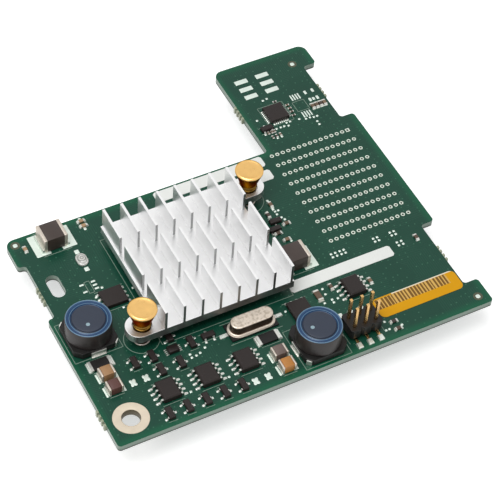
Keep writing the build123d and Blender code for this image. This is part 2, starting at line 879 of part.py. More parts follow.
# Header: an insulator bar notched between its columns and six square posts with feet
header_spot = Location((header_x, between(depth_row, header_share), board_top))
header_depth = header_row_count * header_pitch
with BuildPart() as header_body:
    with BuildSketch(Plane(header_spot).offset(header_lift)):
        Rectangle(2 * header_reach, header_depth)
        with GridLocations(header_pitch, header_depth, header_column_count + 1, 2):
            RegularPolygon(header_cut, 4, mode=Mode.SUBTRACT)
        with GridLocations(header_pitch, header_pitch, header_column_count, header_row_count):
            Rectangle(post_side, post_side, mode=Mode.SUBTRACT)
    extrude(amount=header_height)
header_body.part.label = "header_body"
export_step(header_body.part, "parts/header_body.step")

with BuildPart() as posts:
    with Locations(header_spot):
        with GridLocations(header_pitch, header_pitch, header_column_count, header_row_count):
            Box(post_side, post_side, post_height, align=(MID, MID, MIN))
        foot_length = foot_reach - header_pitch / 2 + post_side / 2
        foot_middle = foot_reach - foot_length / 2
        with GridLocations(header_pitch, 2 * foot_middle, header_column_count, header_row_count):
            Box(post_side, foot_length, foot_height, align=(MID, MID, MIN))
posts.part.label = "header_posts"
export_step(posts.part, "parts/header_posts.step")

# Small two-ended chips on the main board and the tab
chip_spots = [spot(place, place[2]) for place in front_chip_part_shares]
chip_spots += [side_spot(place, place[2]) for place in side_chip_part_shares]
tab_row = tab_spot(tab_chip_part_shares)
for index in range(tab_chip_part_count):
    row_offset = (index - (tab_chip_part_count - 1) / 2) * tab_chip_part_pitch
    chip_spots.append(tab_row * Location((row_offset, 0, 0), (0, 0, 90)))
long_spot = spot(long_part_shares, 90)
chip_core = chip_part_length - 2 * chip_part_cap
long_core = long_part_length - 2 * long_part_cap
with BuildPart() as chip_bodies:
    with Locations(*chip_spots):
        Box(chip_core, chip_part_width, chip_part_height, align=(MID, MID, MIN))
    with Locations(long_spot):
        Box(long_core, long_part_width, long_part_height, align=(MID, MID, MIN))
chip_bodies.part.label = "small_part_bodies"
export_step(chip_bodies.part, "parts/small_part_bodies.step")

with BuildPart() as chip_caps:
    with Locations(*chip_spots):
        with GridLocations(chip_core + chip_part_cap, chip_part_width, 2, 1):
            Box(chip_part_cap, chip_part_width, chip_part_height, align=(MID, MID, MIN))
    with Locations(long_spot):
        with GridLocations(long_core + long_part_cap, long_part_width, 2, 1):
            Box(long_part_cap, long_part_width, long_part_height, align=(MID, MID, MIN))
chip_caps.part.label = "small_part_ends"
export_step(chip_caps.part, "parts/small_part_ends.step")

# Wide pads under the capacitors, and bare pads of places left empty
ceramic_pad = ceramic_cap + ceramic_pad_overhang
lens_pad_y = lens_length / 2 + lens_pad_gap + lens_pad_length / 2
with BuildPart() as pads:
    with Locations(*ceramic_spots):
        with GridLocations(ceramic_length - 2 * ceramic_cap + ceramic_pad, ceramic_width, 2, 1):
            Box(ceramic_pad, ceramic_width, pad_thickness, align=(MID, MID, MIN))
    with Locations(*block_spots):
        pad_span = block_length + 2 * block_pad_overhang - block_pad_length
        with GridLocations(pad_span, block_pad_width, 2, 1):
            Box(block_pad_length, block_pad_width, pad_thickness, align=(MID, MID, MIN))
    with Locations(lens_spot):
        with GridLocations(lens_width, 2 * lens_pad_y, 1, 2):
            Box(lens_width, lens_pad_length, pad_thickness, align=(MID, MID, MIN))
    with Locations(tab_spot(grid_pad_shares)):
        with GridLocations(grid_pad_pitch, grid_pad_row_pitch, grid_pad_column_count, grid_pad_row_count):
            Box(grid_pad_length, grid_pad_width, pad_thickness, align=(MID, MID, MIN))
    with Locations(tab_spot(slim_pad_shares)):
        with GridLocations(slim_pad_pitch, slim_pad_row_pitch, slim_pad_count, 2):
            Box(slim_pad_width, slim_pad_length, pad_thickness, align=(MID, MID, MIN))
    with Locations(tab_spot(quad_pad_shares)):
        with GridLocations(quad_pad_pitch, quad_pad_row_pitch, 2, 2):
            Box(quad_pad_width, quad_pad_length, pad_thickness, align=(MID, MID, MIN))
    with Locations(*(spot(place) for place in star_pad_shares)):
        with GridLocations(star_pad_pitch, star_pad_length, 2, 1):
            Box(star_pad_width, star_pad_length, pad_thickness, align=(MID, MID, MIN))
    with Locations(side_spot(five_pad_shares)):
        with GridLocations(five_pad_span, 2 * five_pad_pitch, 2, 2):
            Box(five_pad_length, five_pad_width, pad_thickness, align=(MID, MID, MIN))
        with Locations((five_pad_span / 2, 0, 0)):
            Box(five_pad_length, five_pad_width, pad_thickness, align=(MID, MID, MIN))
pads.part.label = "solder_pads"
export_step(pads.part, "parts/solder_pads.step")

# Round alignment marks near three corners
mark_spots = [side_spot(left_mark_shares), spot(right_mark_shares), tab_spot(tab_mark_shares)]
with BuildPart() as marks:
    with BuildSketch(*(Plane(place) for place in mark_spots)):
        RegularPolygon(mark_radius, land_side_count)
    extrude(amount=pad_thickness)
marks.part.label = "alignment_marks"
export_step(marks.part, "parts/alignment_marks.step")

# Paper labels: three white strips and one gold label
with BuildPart() as strips:
    for place, length, width in zip(strip_shares, strip_lengths, strip_widths):
        with BuildSketch(Plane(side_spot(place))) as strip:
            Rectangle(length, width)
            chamfer(strip.vertices(), label_corner)
        extrude(amount=label_thickness)
strips.part.label = "white_labels"
export_step(strips.part, "parts/white_labels.step")

gold_spot = Location((gold_x, between(depth_row, gold_share), board_top))
with BuildPart() as gold:
    with BuildSketch(Plane(gold_spot)):
        RectangleRounded(gold_length, gold_width, gold_corner)
    extrude(amount=label_thickness)
gold.part.label = "gold_label"
export_step(gold.part, "parts/gold_label.step")
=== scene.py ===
from math import pi, radians

import bmesh
import bpy
import numpy as np
from mathutils import Matrix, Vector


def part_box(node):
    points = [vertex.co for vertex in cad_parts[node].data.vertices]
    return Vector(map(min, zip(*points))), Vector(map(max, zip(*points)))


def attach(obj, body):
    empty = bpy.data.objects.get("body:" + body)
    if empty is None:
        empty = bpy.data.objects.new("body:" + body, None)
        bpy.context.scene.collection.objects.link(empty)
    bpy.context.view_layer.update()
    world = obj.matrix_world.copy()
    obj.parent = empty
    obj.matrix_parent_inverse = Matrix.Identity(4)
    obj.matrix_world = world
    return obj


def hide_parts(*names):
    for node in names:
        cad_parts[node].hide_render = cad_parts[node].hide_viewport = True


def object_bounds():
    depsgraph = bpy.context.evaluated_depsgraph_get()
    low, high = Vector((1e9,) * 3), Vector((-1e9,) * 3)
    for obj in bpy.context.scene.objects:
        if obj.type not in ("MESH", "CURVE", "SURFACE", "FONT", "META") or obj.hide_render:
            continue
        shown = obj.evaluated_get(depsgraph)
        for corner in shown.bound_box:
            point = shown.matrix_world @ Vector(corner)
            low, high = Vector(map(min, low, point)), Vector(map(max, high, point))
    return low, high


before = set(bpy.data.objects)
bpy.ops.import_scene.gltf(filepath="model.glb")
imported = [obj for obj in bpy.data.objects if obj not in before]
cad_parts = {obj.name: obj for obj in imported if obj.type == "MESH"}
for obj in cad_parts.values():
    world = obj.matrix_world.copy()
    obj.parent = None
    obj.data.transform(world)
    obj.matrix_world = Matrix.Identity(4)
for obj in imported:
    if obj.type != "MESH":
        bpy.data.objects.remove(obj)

cad_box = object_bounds()
mm = 0.001

# Circuit board
# A panel of woven glass laminate under green solder mask, routed to shape and broken out of its
# panel. Copper traces under the mask show as slightly lighter, raised lines.
mask_green = (13, 66, 50)
edge_green = (4, 92, 62)
laminate_grey = (140, 160, 146)
border_edge = (2.21 * mm, 0.26 * mm)
trace_pitch = 0.5 * mm
trace_region = 5.5 * mm
slanted_below, across_above, plain_below = 0.35, 0.68, 0.42
root_half = 0.7071
via_spacing = 1.5 * mm
tab_margin = 0.25 * mm
tab_depth = 27.3 * mm


def paint(red, green, blue):
    """Linear colour of a colour on a screen, each part from 0 to 255."""
    share = np.array([red, green, blue]) / 255
    linear = np.where(share > 0.04045, ((share + 0.055) / 1.055) ** 2.4, share / 12.92)
    return (*(float(part) for part in linear), 1.0)


def add(tree, kind, inputs=None, **settings):
    """Adds a shader node. Its inputs are linked to sockets or set to plain values."""
    made = tree.nodes.new(kind)
    for name, value in settings.items():
        setattr(made, name, value)
    for key, value in (inputs or {}).items():
        if isinstance(value, bpy.types.NodeSocket):
            tree.links.new(value, made.inputs[key])
        else:
            made.inputs[key].default_value = value
    return made


def maths(tree, operation, *values):
    """One sum on numbers or sockets, such as MULTIPLY or LESS_THAN."""
    return add(tree, "ShaderNodeMath", dict(enumerate(values)), operation=operation).outputs[0]


def product(tree, first, *others):
    """All the values multiplied."""
    for value in others:
        first = maths(tree, "MULTIPLY", first, value)
    return first


def ramp(tree, value, low, high):
    """A smooth step: 0 at low, 1 at high, whichever is the larger."""
    settings = {"Value": value, "From Min": low, "From Max": high}
    made = add(tree, "ShaderNodeMapRange", settings, interpolation_type="SMOOTHSTEP")
    return made.outputs["Result"]


def tinted(tree, shade, colour, *masks):
    """A colour with another laid over it, as far as the masks' product says."""
    inputs = {0: product(tree, *masks), 6: shade, 7: paint(*colour)}
    return add(tree, "ShaderNodeMix", inputs, data_type="RGBA").outputs[2]


def object_place(tree):
    """The surface's place in the object's own metres."""
    return add(tree, "ShaderNodeTexCoord").outputs["Object"]


def place_on_surface(tree):
    """X, Y and Z of the surface in the object's own metres."""
    return add(tree, "ShaderNodeSeparateXYZ", {0: object_place(tree)}).outputs


def depth_inside(tree, left, front, right, back):
    """How far a place lies inside a rectangle in plan, from its nearest side."""
    x, y = place_on_surface(tree)[:2]
    depth = maths(tree, "SUBTRACT", x, left)
    for further, nearer in ((right, x), (y, front), (back, y)):
        depth = maths(tree, "MINIMUM", depth, maths(tree, "SUBTRACT", further, nearer))
    return depth


def in_plan(tree):
    """The surface's place seen from above, without its height."""
    x, y = place_on_surface(tree)[:2]
    return add(tree, "ShaderNodeCombineXYZ", {0: x, 1: y}).outputs[0]


def noise(tree, size, detail, where=None):
    """Noise from 0 to 1 with blots of about one size, over the surface or another place."""
    inputs = {
        "Vector": where or object_place(tree), "Scale": maths(tree, "DIVIDE", 1.0, size),
        "Detail": detail,
    }
    return add(tree, "ShaderNodeTexNoise", inputs).outputs["Fac"]


# Fine surface: colour and gloss that drift over a few millimetres, and a fine grain for the bump
fine_surface = bpy.data.node_groups.new("fine_surface", "ShaderNodeTree")
for in_out, label, value in (
    ("INPUT", "Colour", (0.5, 0.5, 0.5, 1)), ("INPUT", "Drift", 0.1),
    ("INPUT", "Drift Size", 2 * mm), ("INPUT", "Grain Size", 0.1 * mm),
    ("INPUT", "Roughness", 0.5), ("INPUT", "Roughness Drift", 0.1),
    ("OUTPUT", "Colour", (0, 0, 0, 1)), ("OUTPUT", "Roughness", 0.0), ("OUTPUT", "Height", 0.0),
):
    kind = "NodeSocketColor" if label == "Colour" else "NodeSocketFloat"
    socket = fine_surface.interface.new_socket(label, in_out=in_out, socket_type=kind)
    socket.default_value = value
given = add(fine_surface, "NodeGroupInput").outputs
result = add(fine_surface, "NodeGroupOutput").inputs
drift = noise(fine_surface, given["Drift Size"], 4.0)
drift = maths(fine_surface, "MULTIPLY_ADD", drift, 2.0, -1.0)
grain = noise(fine_surface, given["Grain Size"], 3.0)
grainy = maths(fine_surface, "MULTIPLY_ADD", grain, 0.4, drift)
brighter = maths(fine_surface, "MULTIPLY_ADD", given["Drift"], grainy, 1.0)
scaled = {0: given["Colour"], "Scale": brighter}
toned = add(fine_surface, "ShaderNodeVectorMath", scaled, operation="SCALE").outputs[0]
duller = given["Roughness Drift"]
rougher = maths(fine_surface, "MULTIPLY_ADD", duller, drift, given["Roughness"])
for label, value in (("Colour", toned), ("Roughness", rougher), ("Height", grain)):
    fine_surface.links.new(value, result[label])


def finish(
    name, colour, roughness, metallic=0.0, drift=(0.08, 2), grain=(0.12, 0.004),
    roughness_drift=0.08, pattern=None, relief=None, **sockets,
):
    """A material of one shader over the fine surface group. Drift is how much the colour drifts
    and over how many mm, and grain is the grain's size and depth in mm. A pattern takes the tree
    and colour and returns a new colour; a relief takes the tree and height and returns a
    height."""
    material = bpy.data.materials.new(name)
    material.use_nodes = True
    tree = material.node_tree
    tree.nodes.clear()
    inputs = {
        "Colour": paint(*colour), "Drift": drift[0], "Drift Size": drift[1] * mm,
        "Grain Size": grain[0] * mm, "Roughness": roughness, "Roughness Drift": roughness_drift,
    }
    surface = add(tree, "ShaderNodeGroup", node_tree=fine_surface)
    for key, value in inputs.items():
        surface.inputs[key].default_value = value
    surface = surface.outputs
    shade = pattern(tree, surface["Colour"]) if pattern else surface["Colour"]
    height = relief(tree, surface["Height"]) if relief else surface["Height"]
    bump = add(tree, "ShaderNodeBump", {"Height": height, "Distance": grain[1] * mm})
    inputs = {
        "Base Color": shade, "Roughness": surface["Roughness"], "Metallic": metallic,
        "Normal": bump.outputs["Normal"],
    }
    shader = add(tree, "ShaderNodeBsdfPrincipled", inputs)
    for key, value in sockets.items():
        shader.inputs[key.replace("_", " ").title().replace("Ior", "IOR")].default_value = value
    add(tree, "ShaderNodeOutputMaterial", {"Surface": shader.outputs[0]})
    return material


def dress(node, material):
    """Gives a CAD node's faces a material."""
    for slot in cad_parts[node].material_slots:
        slot.material = material


board_low, board_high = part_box("circuit_board")
tab_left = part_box("connector_lands")[0][0] - tab_margin
main_back = board_high[1] - tab_depth


def trace_mask(tree):
    """Parallel lines in patches: each patch of a cell pattern picks its own direction, and some
    patches stay plain."""
    x, y = place_on_surface(tree)[:2]
    patch = add(
        tree, "ShaderNodeTexVoronoi", {"Vector": in_plan(tree), "Scale": 1 / trace_region},
        voronoi_dimensions="2D", distance="CHEBYCHEV",
    ).outputs["Color"]
    pick = add(tree, "ShaderNodeSeparateColor", {0: patch}).outputs
    slanted = product(tree, maths(tree, "ADD", x, y), root_half)
    is_slanted = maths(tree, "LESS_THAN", pick[0], slanted_below)
    is_across = maths(tree, "GREATER_THAN", pick[0], across_above)
    run = maths(tree, "MULTIPLY_ADD", is_across, maths(tree, "SUBTRACT", y, x), x)
    run = maths(tree, "MULTIPLY_ADD", is_slanted, maths(tree, "SUBTRACT", slanted, run), run)
    wave = maths(tree, "PINGPONG", maths(tree, "DIVIDE", run, trace_pitch), 0.5)
    has_traces = maths(tree, "GREATER_THAN", pick[1], plain_below)
    return product(tree, ramp(tree, wave, 0.3, 0.42), has_traces)


def via_mask(tree):
    """Small round vias under the mask, one near the middle of some cells of a square pattern."""
    cells = add(
        tree, "ShaderNodeTexVoronoi",
        {"Vector": in_plan(tree), "Scale": 1 / via_spacing, "Randomness": 0.6},
        voronoi_dimensions="2D",
    ).outputs
    pick = add(tree, "ShaderNodeSeparateColor", {0: cells["Color"]}).outputs[0]
    dot = ramp(tree, cells["Distance"], 0.13, 0.07)
    return product(tree, dot, maths(tree, "LESS_THAN", pick, 0.5))


def wall_mask(tree):
    """1 on the board's cut edges, between its two faces."""
    z = place_on_surface(tree)[2]
    above = maths(tree, "GREATER_THAN", z, 0.02 * mm)
    return product(tree, above, maths(tree, "LESS_THAN", z, board_high[2] - 0.02 * mm))


# Rough stubs where the card was broken out of its panel, as (left, front, right, back)
stubs = np.array([
    (-7.0, -1.0, -5.22, 6.0), (-5.0, 33.0, -3.52, 40.0), (57.0, 62.0, 58.78, 70.0),
    (79.32, 61.0, 81.0, 69.0), (79.27, 7.0, 81.0, 15.0),
]) * mm


def stub_mask(tree):
    """1 on the stubs, which stand out from the board's straight edges."""
    depth = -1.0
    for stub in stubs:
        depth = maths(tree, "MAXIMUM", depth, depth_inside(tree, *stub))
    return maths(tree, "GREATER_THAN", depth, 0.0)


def board_colours(tree, shade):
    """Lighter traces, a brighter border where no copper lies under the mask, and bare grey
    laminate, darker low down, on the cut edges."""
    in_main = depth_inside(tree, *board_low[:2], board_high[0], main_back)
    in_tab = depth_inside(tree, tab_left, board_low[1], *board_high[:2])
    depth = maths(tree, "MAXIMUM", in_main, in_tab)
    border = ramp(tree, depth, *border_edge)
    shade = tinted(tree, shade, (36, 96, 74), trace_mask(tree), 0.22)
    shade = tinted(tree, shade, (70, 124, 98), via_mask(tree), 0.6)
    shade = tinted(tree, shade, edge_green, border, 0.75)
    shade = tinted(tree, shade, laminate_grey, wall_mask(tree))
    low_down = ramp(tree, place_on_surface(tree)[2], 0.75 * mm, 0.1 * mm)
    shade = tinted(tree, shade, (58, 64, 56), wall_mask(tree), low_down)
    return tinted(tree, shade, (186, 190, 164), stub_mask(tree), 0.8)


def board_relief(tree, height):
    """Grain of the mask with the traces and vias standing proud."""
    proud = maths(tree, "MAXIMUM", trace_mask(tree), via_mask(tree))
    return maths(tree, "MULTIPLY_ADD", proud, 1.4, height)


dress("circuit_board", finish(
    "solder_mask", mask_green, 0.33, drift=(0.1, 9), grain=(0.35, 0.006), roughness_drift=0.06,
    pattern=board_colours, relief=board_relief, specular_ior_level=0.3,
))


# Printed legend
# Thin pale ink lines screened on the mask with one stencil: outlines and bars round the chips,
# inductors and heatsink, and a circle round each push pin.
ink_width = 0.14 * mm
ink_height = 0.02 * mm

# How deep thin pieces are sunk in the board, and how near two corners count as one
sunk = 0.01 * mm
same_corner = 0.001 * mm


def rounded_rings(low, high, corner, rows, steps=16):
    """Rings of boxes with rounded corners, one stack for each pair of corners low and high. A
    point of a ring is the corner circle's point at an angle, pushed out to the box's side less
    that circle's radius. A row is (inset from the sides in mm, share of the height, lift in
    mm)."""
    low, high = np.atleast_2d(low), np.atleast_2d(high)
    inset, share, lift = (np.array(column)[None, :, None] for column in zip(*rows))
    inset, lift = inset * mm, lift * mm
    angle = (np.arange(steps) + 0.5) / steps * 2 * pi
    middle, half = (low + high) / 2, (high - low) / 2
    wide, deep = half[:, 0, None, None] - inset, half[:, 1, None, None] - inset
    radius = np.clip(np.broadcast_to(corner, inset.shape) - inset, 0.01 * mm, None)
    radius = np.minimum(radius, np.minimum(wide, deep))
    turn_x, turn_y = np.cos(angle), np.sin(angle)
    x = middle[:, 0, None, None] + np.sign(turn_x) * (wide - radius) + radius * turn_x
    y = middle[:, 1, None, None] + np.sign(turn_y) * (deep - radius) + radius * turn_y
    z = low[:, 2, None, None] + (high - low)[:, 2, None, None] * share + lift
    return np.stack([x, y, np.broadcast_to(z, x.shape)], axis=-1)


def washer(inner, outer, low, high):
    """Profile of a flat ring, as (radius, height), for a closed loop."""
    return [(inner, low), (outer, low), (outer, high), (inner, high)]


def turned_rings(places, profile, steps=64):
    """Rings of a profile of (radius, height) turned round the axis at each place."""
    places, profile = np.atleast_2d(places)[:, :2], np.array(profile)
    angle = np.arange(steps) / steps * 2 * pi
    x = places[:, 0, None, None] + profile[None, :, 0, None] * np.cos(angle)
    y = places[:, 1, None, None] + profile[None, :, 0, None] * np.sin(angle)
    z = np.broadcast_to(profile[None, :, 1, None], x.shape)
    return np.stack([x, y, z], axis=-1)


def in_scene(name, data):
    """A new object in the scene."""
    made = bpy.data.objects.new(name, data)
    bpy.context.scene.collection.objects.link(made)
    return made


def smooth_piece(name, mesh, sharp):
    """A new object with smooth faces, and sharp edges above an angle in degrees."""
    mesh.polygons.foreach_set("use_smooth", np.ones(len(mesh.polygons), dtype=bool))
    mesh.set_sharp_from_angle(angle=radians(sharp))
    return in_scene(name, mesh)


def skin(name, *stacks, closed_loop=False, sharp=35):
    """A piece skinned over stacks of rings, each an array (copies, rows, steps, 3). Every row is
    joined to the next by a band of quads. The two end rows get a flat face, or are joined to
    each other where the rows run in a closed loop."""
    points, faces, first = [], [], 0
    for stack in stacks:
        copies, rows, steps = stack.shape[:3]
        number = first + np.arange(copies * rows * steps).reshape(copies, rows, steps)
        nearer = number if closed_loop else number[:, :-1]
        further = np.roll(number, -1, axis=1) if closed_loop else number[:, 1:]
        quads = np.stack(
            [nearer, np.roll(nearer, -1, axis=2), np.roll(further, -1, axis=2), further], axis=-1
        )
        faces += quads.reshape(-1, 4).tolist()
        if not closed_loop:
            faces += number[:, 0, ::-1].tolist() + number[:, -1].tolist()
        points.append(stack.reshape(-1, 3))
        first += copies * rows * steps
    mesh = bpy.data.meshes.new(name)
    mesh.from_pydata(np.concatenate(points).tolist(), [], faces)
    return smooth_piece(name, mesh, sharp)


def fit(piece, material, slot, *nodes):
    """Gives a piece its material and lets it ride on the card, in place of the named nodes."""
    piece.data.materials.clear()
    piece.data.materials.append(material)
    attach(piece, "root")
    if nodes:
        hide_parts(*nodes)


def solids_of(node):
    """Lowest and highest corners of each separate solid of a CAD node, from left to right.
    Corners at one place count as one, and each takes the lowest number among the corners of its
    triangles until no number changes."""
    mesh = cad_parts[node].data
    mesh.calc_loop_triangles()
    points = np.empty(len(mesh.vertices) * 3)
    mesh.vertices.foreach_get("co", points)
    triangles = np.empty(len(mesh.loop_triangles) * 3, dtype=int)
    mesh.loop_triangles.foreach_get("vertices", triangles)
    points = np.round(points.reshape(-1, 3) / same_corner).astype(int)
    places, corner = np.unique(points, axis=0, return_inverse=True)
    triangles = corner.ravel()[triangles].reshape(-1, 3)
    number = np.arange(len(places))
    before = None
    while not np.array_equal(before, number):
        before, number = number, number.copy()
        np.minimum.at(number, triangles.ravel(), np.repeat(before[triangles].min(axis=1), 3))
        number = number[number]
    roots, solid = np.unique(number, return_inverse=True)
    low = np.full((len(roots), 3), np.inf)
    high = -low
    np.minimum.at(low, solid.ravel(), places * same_corner)
    np.maximum.at(high, solid.ravel(), places * same_corner)
    order = np.argsort(low[:, 0])
    return low[order], high[order]


def middles_of(node):
    """Middle (x, y) of each separate solid of a CAD node."""
    low, high = solids_of(node)
    return (low + high)[:, :2] / 2


def on_board(middles, half, bottom, top):
    """Lowest and highest corners of boxes round places (x, y), from half their sizes in plan and
    their heights above the board's face."""
    middles = np.atleast_2d(middles)
    level = np.full((len(middles), 1), board_high[2])
    return np.hstack([middles - half, level + bottom]), np.hstack([middles + half, level + top])


def bars(lines):
    """Rings of ink bars between pairs of points, each line (x, y, x, y) along X or Y."""
    lines = np.array(lines)
    half = np.abs(lines[:, 2:] - lines[:, :2]) / 2 + ink_width / 2
    low, high = on_board((lines[:, :2] + lines[:, 2:]) / 2, half, -sunk, ink_height)
    return rounded_rings(low, high, 0.05 * mm, [(0, 0, 0), (0, 0.7, 0), (0.03, 1, 0)], steps=8)


def frame_lines(low, high, margin, sides="lrfb"):
    """Bars round a box at a margin: left, right, front and back as named."""
    x0, y0, x1, y1 = low[0] - margin, low[1] - margin, high[0] + margin, high[1] + margin
    every = {
        "l": (x0, y0, x0, y1), "r": (x1, y0, x1, y1),
        "f": (x0, y0, x1, y0), "b": (x0, y1, x1, y1),
    }
    return [every[side] for side in sides]


sink_frame_margin = 2.9 * mm
legend = frame_lines(*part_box("chip_substrate"), sink_frame_margin)
for part, margin, sides in (
    ("inductor_bases", 0.35, "lrfb"), ("soic_bodies", 0.45, "fb"),
    ("power_chip_bodies", 0.55, "fb"), ("block_capacitor_bodies", 0.9, "fb"),
    ("crystal_base", 0.5, "fb"), ("sense_resistor_bodies", 0.35, "fb"),
    ("ceramic_capacitor_bodies", 0.4, "fb"), ("sot_bodies", 0.3, "fb"),
    ("quad_chip_body", 0.8, "lrfb"), ("header_body", 0.35, "lr"),
):
    for solid_low, solid_high in zip(*solids_of(part)):
        legend += frame_lines(solid_low, solid_high, margin * mm, sides)

# Outlines of the places left empty, as (left, front, right, back)
empty_places = np.array([(5.75, 32.4, 6.9, 35.6), (71.2, 60.9, 74.2, 64.0)]) * mm
for place in empty_places:
    legend += frame_lines(place[:2], place[2:], 0)
pin_places = middles_of("push_pins")
circle_radius = 3.75 * mm
circle_profile = washer(
    circle_radius - ink_width / 2, circle_radius + ink_width / 2, board_high[2] - sunk,
    board_high[2] + ink_height,
)
ink = finish("legend_ink", (126, 146, 132), 0.6, drift=(0.2, 1.2))
fit(skin("legend_lines", bars(legend)), ink, "white_paper")
circles = turned_rings(pin_places, circle_profile, steps=72)
fit(skin("legend_circles", circles, closed_loop=True), ink, "white_paper")


# Solder
# Dull bright tin solder: the pads of empty places, round test points, fillets at the feet of
# leads, and the levelled pads under the large capacitors. It flowed, so all of it is domed.
solder = finish(
    "bright_solder", (222, 228, 220), 0.3, metallic=0.75, drift=(0.16, 0.5), grain=(0.18, 0.02),
    roughness_drift=0.12,
)
pad_finish = finish(
    "levelled_solder", (228, 240, 230), 0.34, metallic=0.35, drift=(0.1, 1.4), grain=(0.4, 0.02),
    roughness_drift=0.1,
)
pad_low, pad_high = solids_of("solder_pads")
lens_pad_width = 1.0 * mm
lens_pad_reach = np.array([0.6, 4.0]) * mm
pad_middle = (pad_low + pad_high)[:, :2] / 2
from_lens = np.abs(pad_middle - middles_of("indicator_lens"))
by_lens = np.all(from_lens < lens_pad_reach, axis=1)
pad_low[by_lens, 0] = pad_middle[by_lens, 0] - lens_pad_width / 2
pad_high[by_lens, 0] = pad_middle[by_lens, 0] + lens_pad_width / 2
pad_rows = [(0, 0, 0), (0, 0.4, 0), (0.05, 0.8, 0), (0.14, 1, 0)]
star_steps = 32
star_sizes = (1.2 * mm, 2.0 * mm)


def stars(low, high):
    """Rings of pads whose solder has drawn into the four corners: the share of the half width
    and length grows from the middle of each side towards the corners."""
    angle = (np.arange(star_steps) + 0.5) / star_steps * 2 * pi
    reach = 0.78 + 0.54 * np.abs(np.sin(2 * angle)) ** 1.5
    rows = np.array([(1, -sunk), (1, 0.05 * mm), (0.86, 0.085 * mm), (0.5, 0.1 * mm)])
    flat = np.stack([np.cos(angle), np.sin(angle)], axis=-1) * reach[:, None]
    flat = rows[:, 0, None, None] * flat
    middle, half = (low + high)[:, None, None, :2] / 2, (high - low)[:, None, None, :2] / 2
    level = np.broadcast_to(board_high[2] + rows[:, 1, None], (len(low), len(rows), star_steps))
    return np.concatenate([middle + half * flat, level[..., None]], axis=-1)


# The square bare pads of two empty two-ended places are told by their size
pad_size = (pad_high - pad_low)[:, :2]
is_star = np.all((pad_size > star_sizes[0]) & (pad_size < star_sizes[1]), axis=1)
oblongs = rounded_rings(pad_low[~is_star], pad_high[~is_star], 0.16 * mm, pad_rows, steps=20)
bare_pads = skin("levelled_pads", oblongs, stars(pad_low[is_star], pad_high[is_star]))
fit(bare_pads, pad_finish, "pad_solder", "solder_pads")


def domes(places, wide, deep, tall):
    """Rings of low round-cornered domes on the board, at places (x, y)."""
    low, high = on_board(places, np.array([wide, deep]) / 2, -2 * sunk, tall)
    reach = min(wide, deep) / 2 / mm
    rows = [(0, 0, 0), (0, 0.25, 0), (0.3 * reach, 0.75, 0), (0.7 * reach, 1, 0)]
    return rounded_rings(low, high, 0.7 * reach * mm, rows, steps=12)


# Round test points, and small bare pads as (x, y), in millimetres on the card
test_points = np.array([
    (14.6, 30.0), (6.5, 30.9), (10.6, 26.1), (8.7, 32.8), (26.7, 10.7), (50.9, 12.75),
    (50.8, 11.25), (49.5, 9.2), (51.4, 9.4), (51.4, 8.6), (52.7, 9.2), (58.5, -0.5),
    (57.7, -2.6), (58.5, -2.6), (61.5, -2.7), (50.3, 36.8), (52.0, 36.3), (52.8, 36.3),
    (51.3, 28.4), (51.3, 27.4), (64.1, 58.25), (65.2, 58.25), (66.1, 58.25), (67.1, 59.0),
    (68.0, 59.0), (67.1, 58.0), (62.1, 55.9), (63.0, 55.6), (64.1, 55.6), (71.8, 58.25),
    (72.8, 58.25), (73.7, 58.0), (74.6, 58.0), (73.8, 56.5), (73.8, 55.5), (40.9, 10.75),
    (65.4, 67.4), (66.5, 67.6), (70.3, 58.8), (61.2, 62.3), (21.3, 9.5), (19.8, 8.7),
    (18.8, 8.4), (17.7, 9.2), (17.7, 8.3), (22.4, 0.7), (13.7, 0.7),
    (9.1, 12.7), (52.0, 35.4), (52.5, 34.2), (52.9, 33.4),
])
grid_points = np.array([
    (x, y)
    for columns, rows in (
        ((57.25, 58.3, 59.4, 60.4, 67.8, 68.8, 72.0, 73.0), (20.4, 19.5)),
        ((72.0, 73.1), (17.3, 16.4)),
    )
    for x in columns
    for y in rows
])
small_pads = np.array([
    (75.6, 65.75), (77.5, 65.75), (75.6, 63.25), (76.5, 63.25), (77.5, 63.3), (12.2, 52.0),
    (12.2, 49.2), (51.9, 39.6), (51.9, 37.2),
])
every_point = np.vstack([test_points, grid_points]) * mm
point_domes = domes(every_point, 0.56 * mm, 0.56 * mm, 0.1 * mm)
pad_domes = domes(small_pads * mm, 0.62 * mm, 0.9 * mm, 0.1 * mm)
fit(skin("test_points", point_domes, pad_domes), pad_finish, "pad_solder")


def feet(lead_node, body_node, foot, spare, tall, wider=0.08):
    """Rings of solder fillets at the outer ends of leads, sizes in mm. A lead's way out is the
    axis on which it lies furthest from its nearest body's middle, in halves of that body."""
    foot, spare, tall, wider = (size * mm for size in (foot, spare, tall, wider))
    low, high = solids_of(lead_node)
    body_low, body_high = solids_of(body_node)
    apart = (low + high)[:, None, :2] / 2 - (body_low + body_high)[None, :, :2] / 2
    nearest = np.argmin((apart**2).sum(axis=-1), axis=1)
    leads = np.arange(len(low))
    away = apart[leads, nearest]
    axis = np.argmax(np.abs(away) / (body_high - body_low)[nearest, :2], axis=1)
    sign = np.sign(away[leads, axis])
    tip = np.where(sign > 0, high[leads, axis], low[leads, axis]) + sign * spare
    heel = tip - sign * (foot + spare)
    low[leads, axis], high[leads, axis] = np.minimum(tip, heel), np.maximum(tip, heel)
    low[leads, 1 - axis] -= wider
    high[leads, 1 - axis] += wider
    low[:, 2], high[:, 2] = board_high[2] - 2 * sunk, board_high[2] + tall
    rings = [(0, 0, 0), (0, 0.2, 0), (0.07, 0.7, 0), (0.17, 1, 0)]
    return rounded_rings(low, high, 0.18 * mm, rings, steps=12)


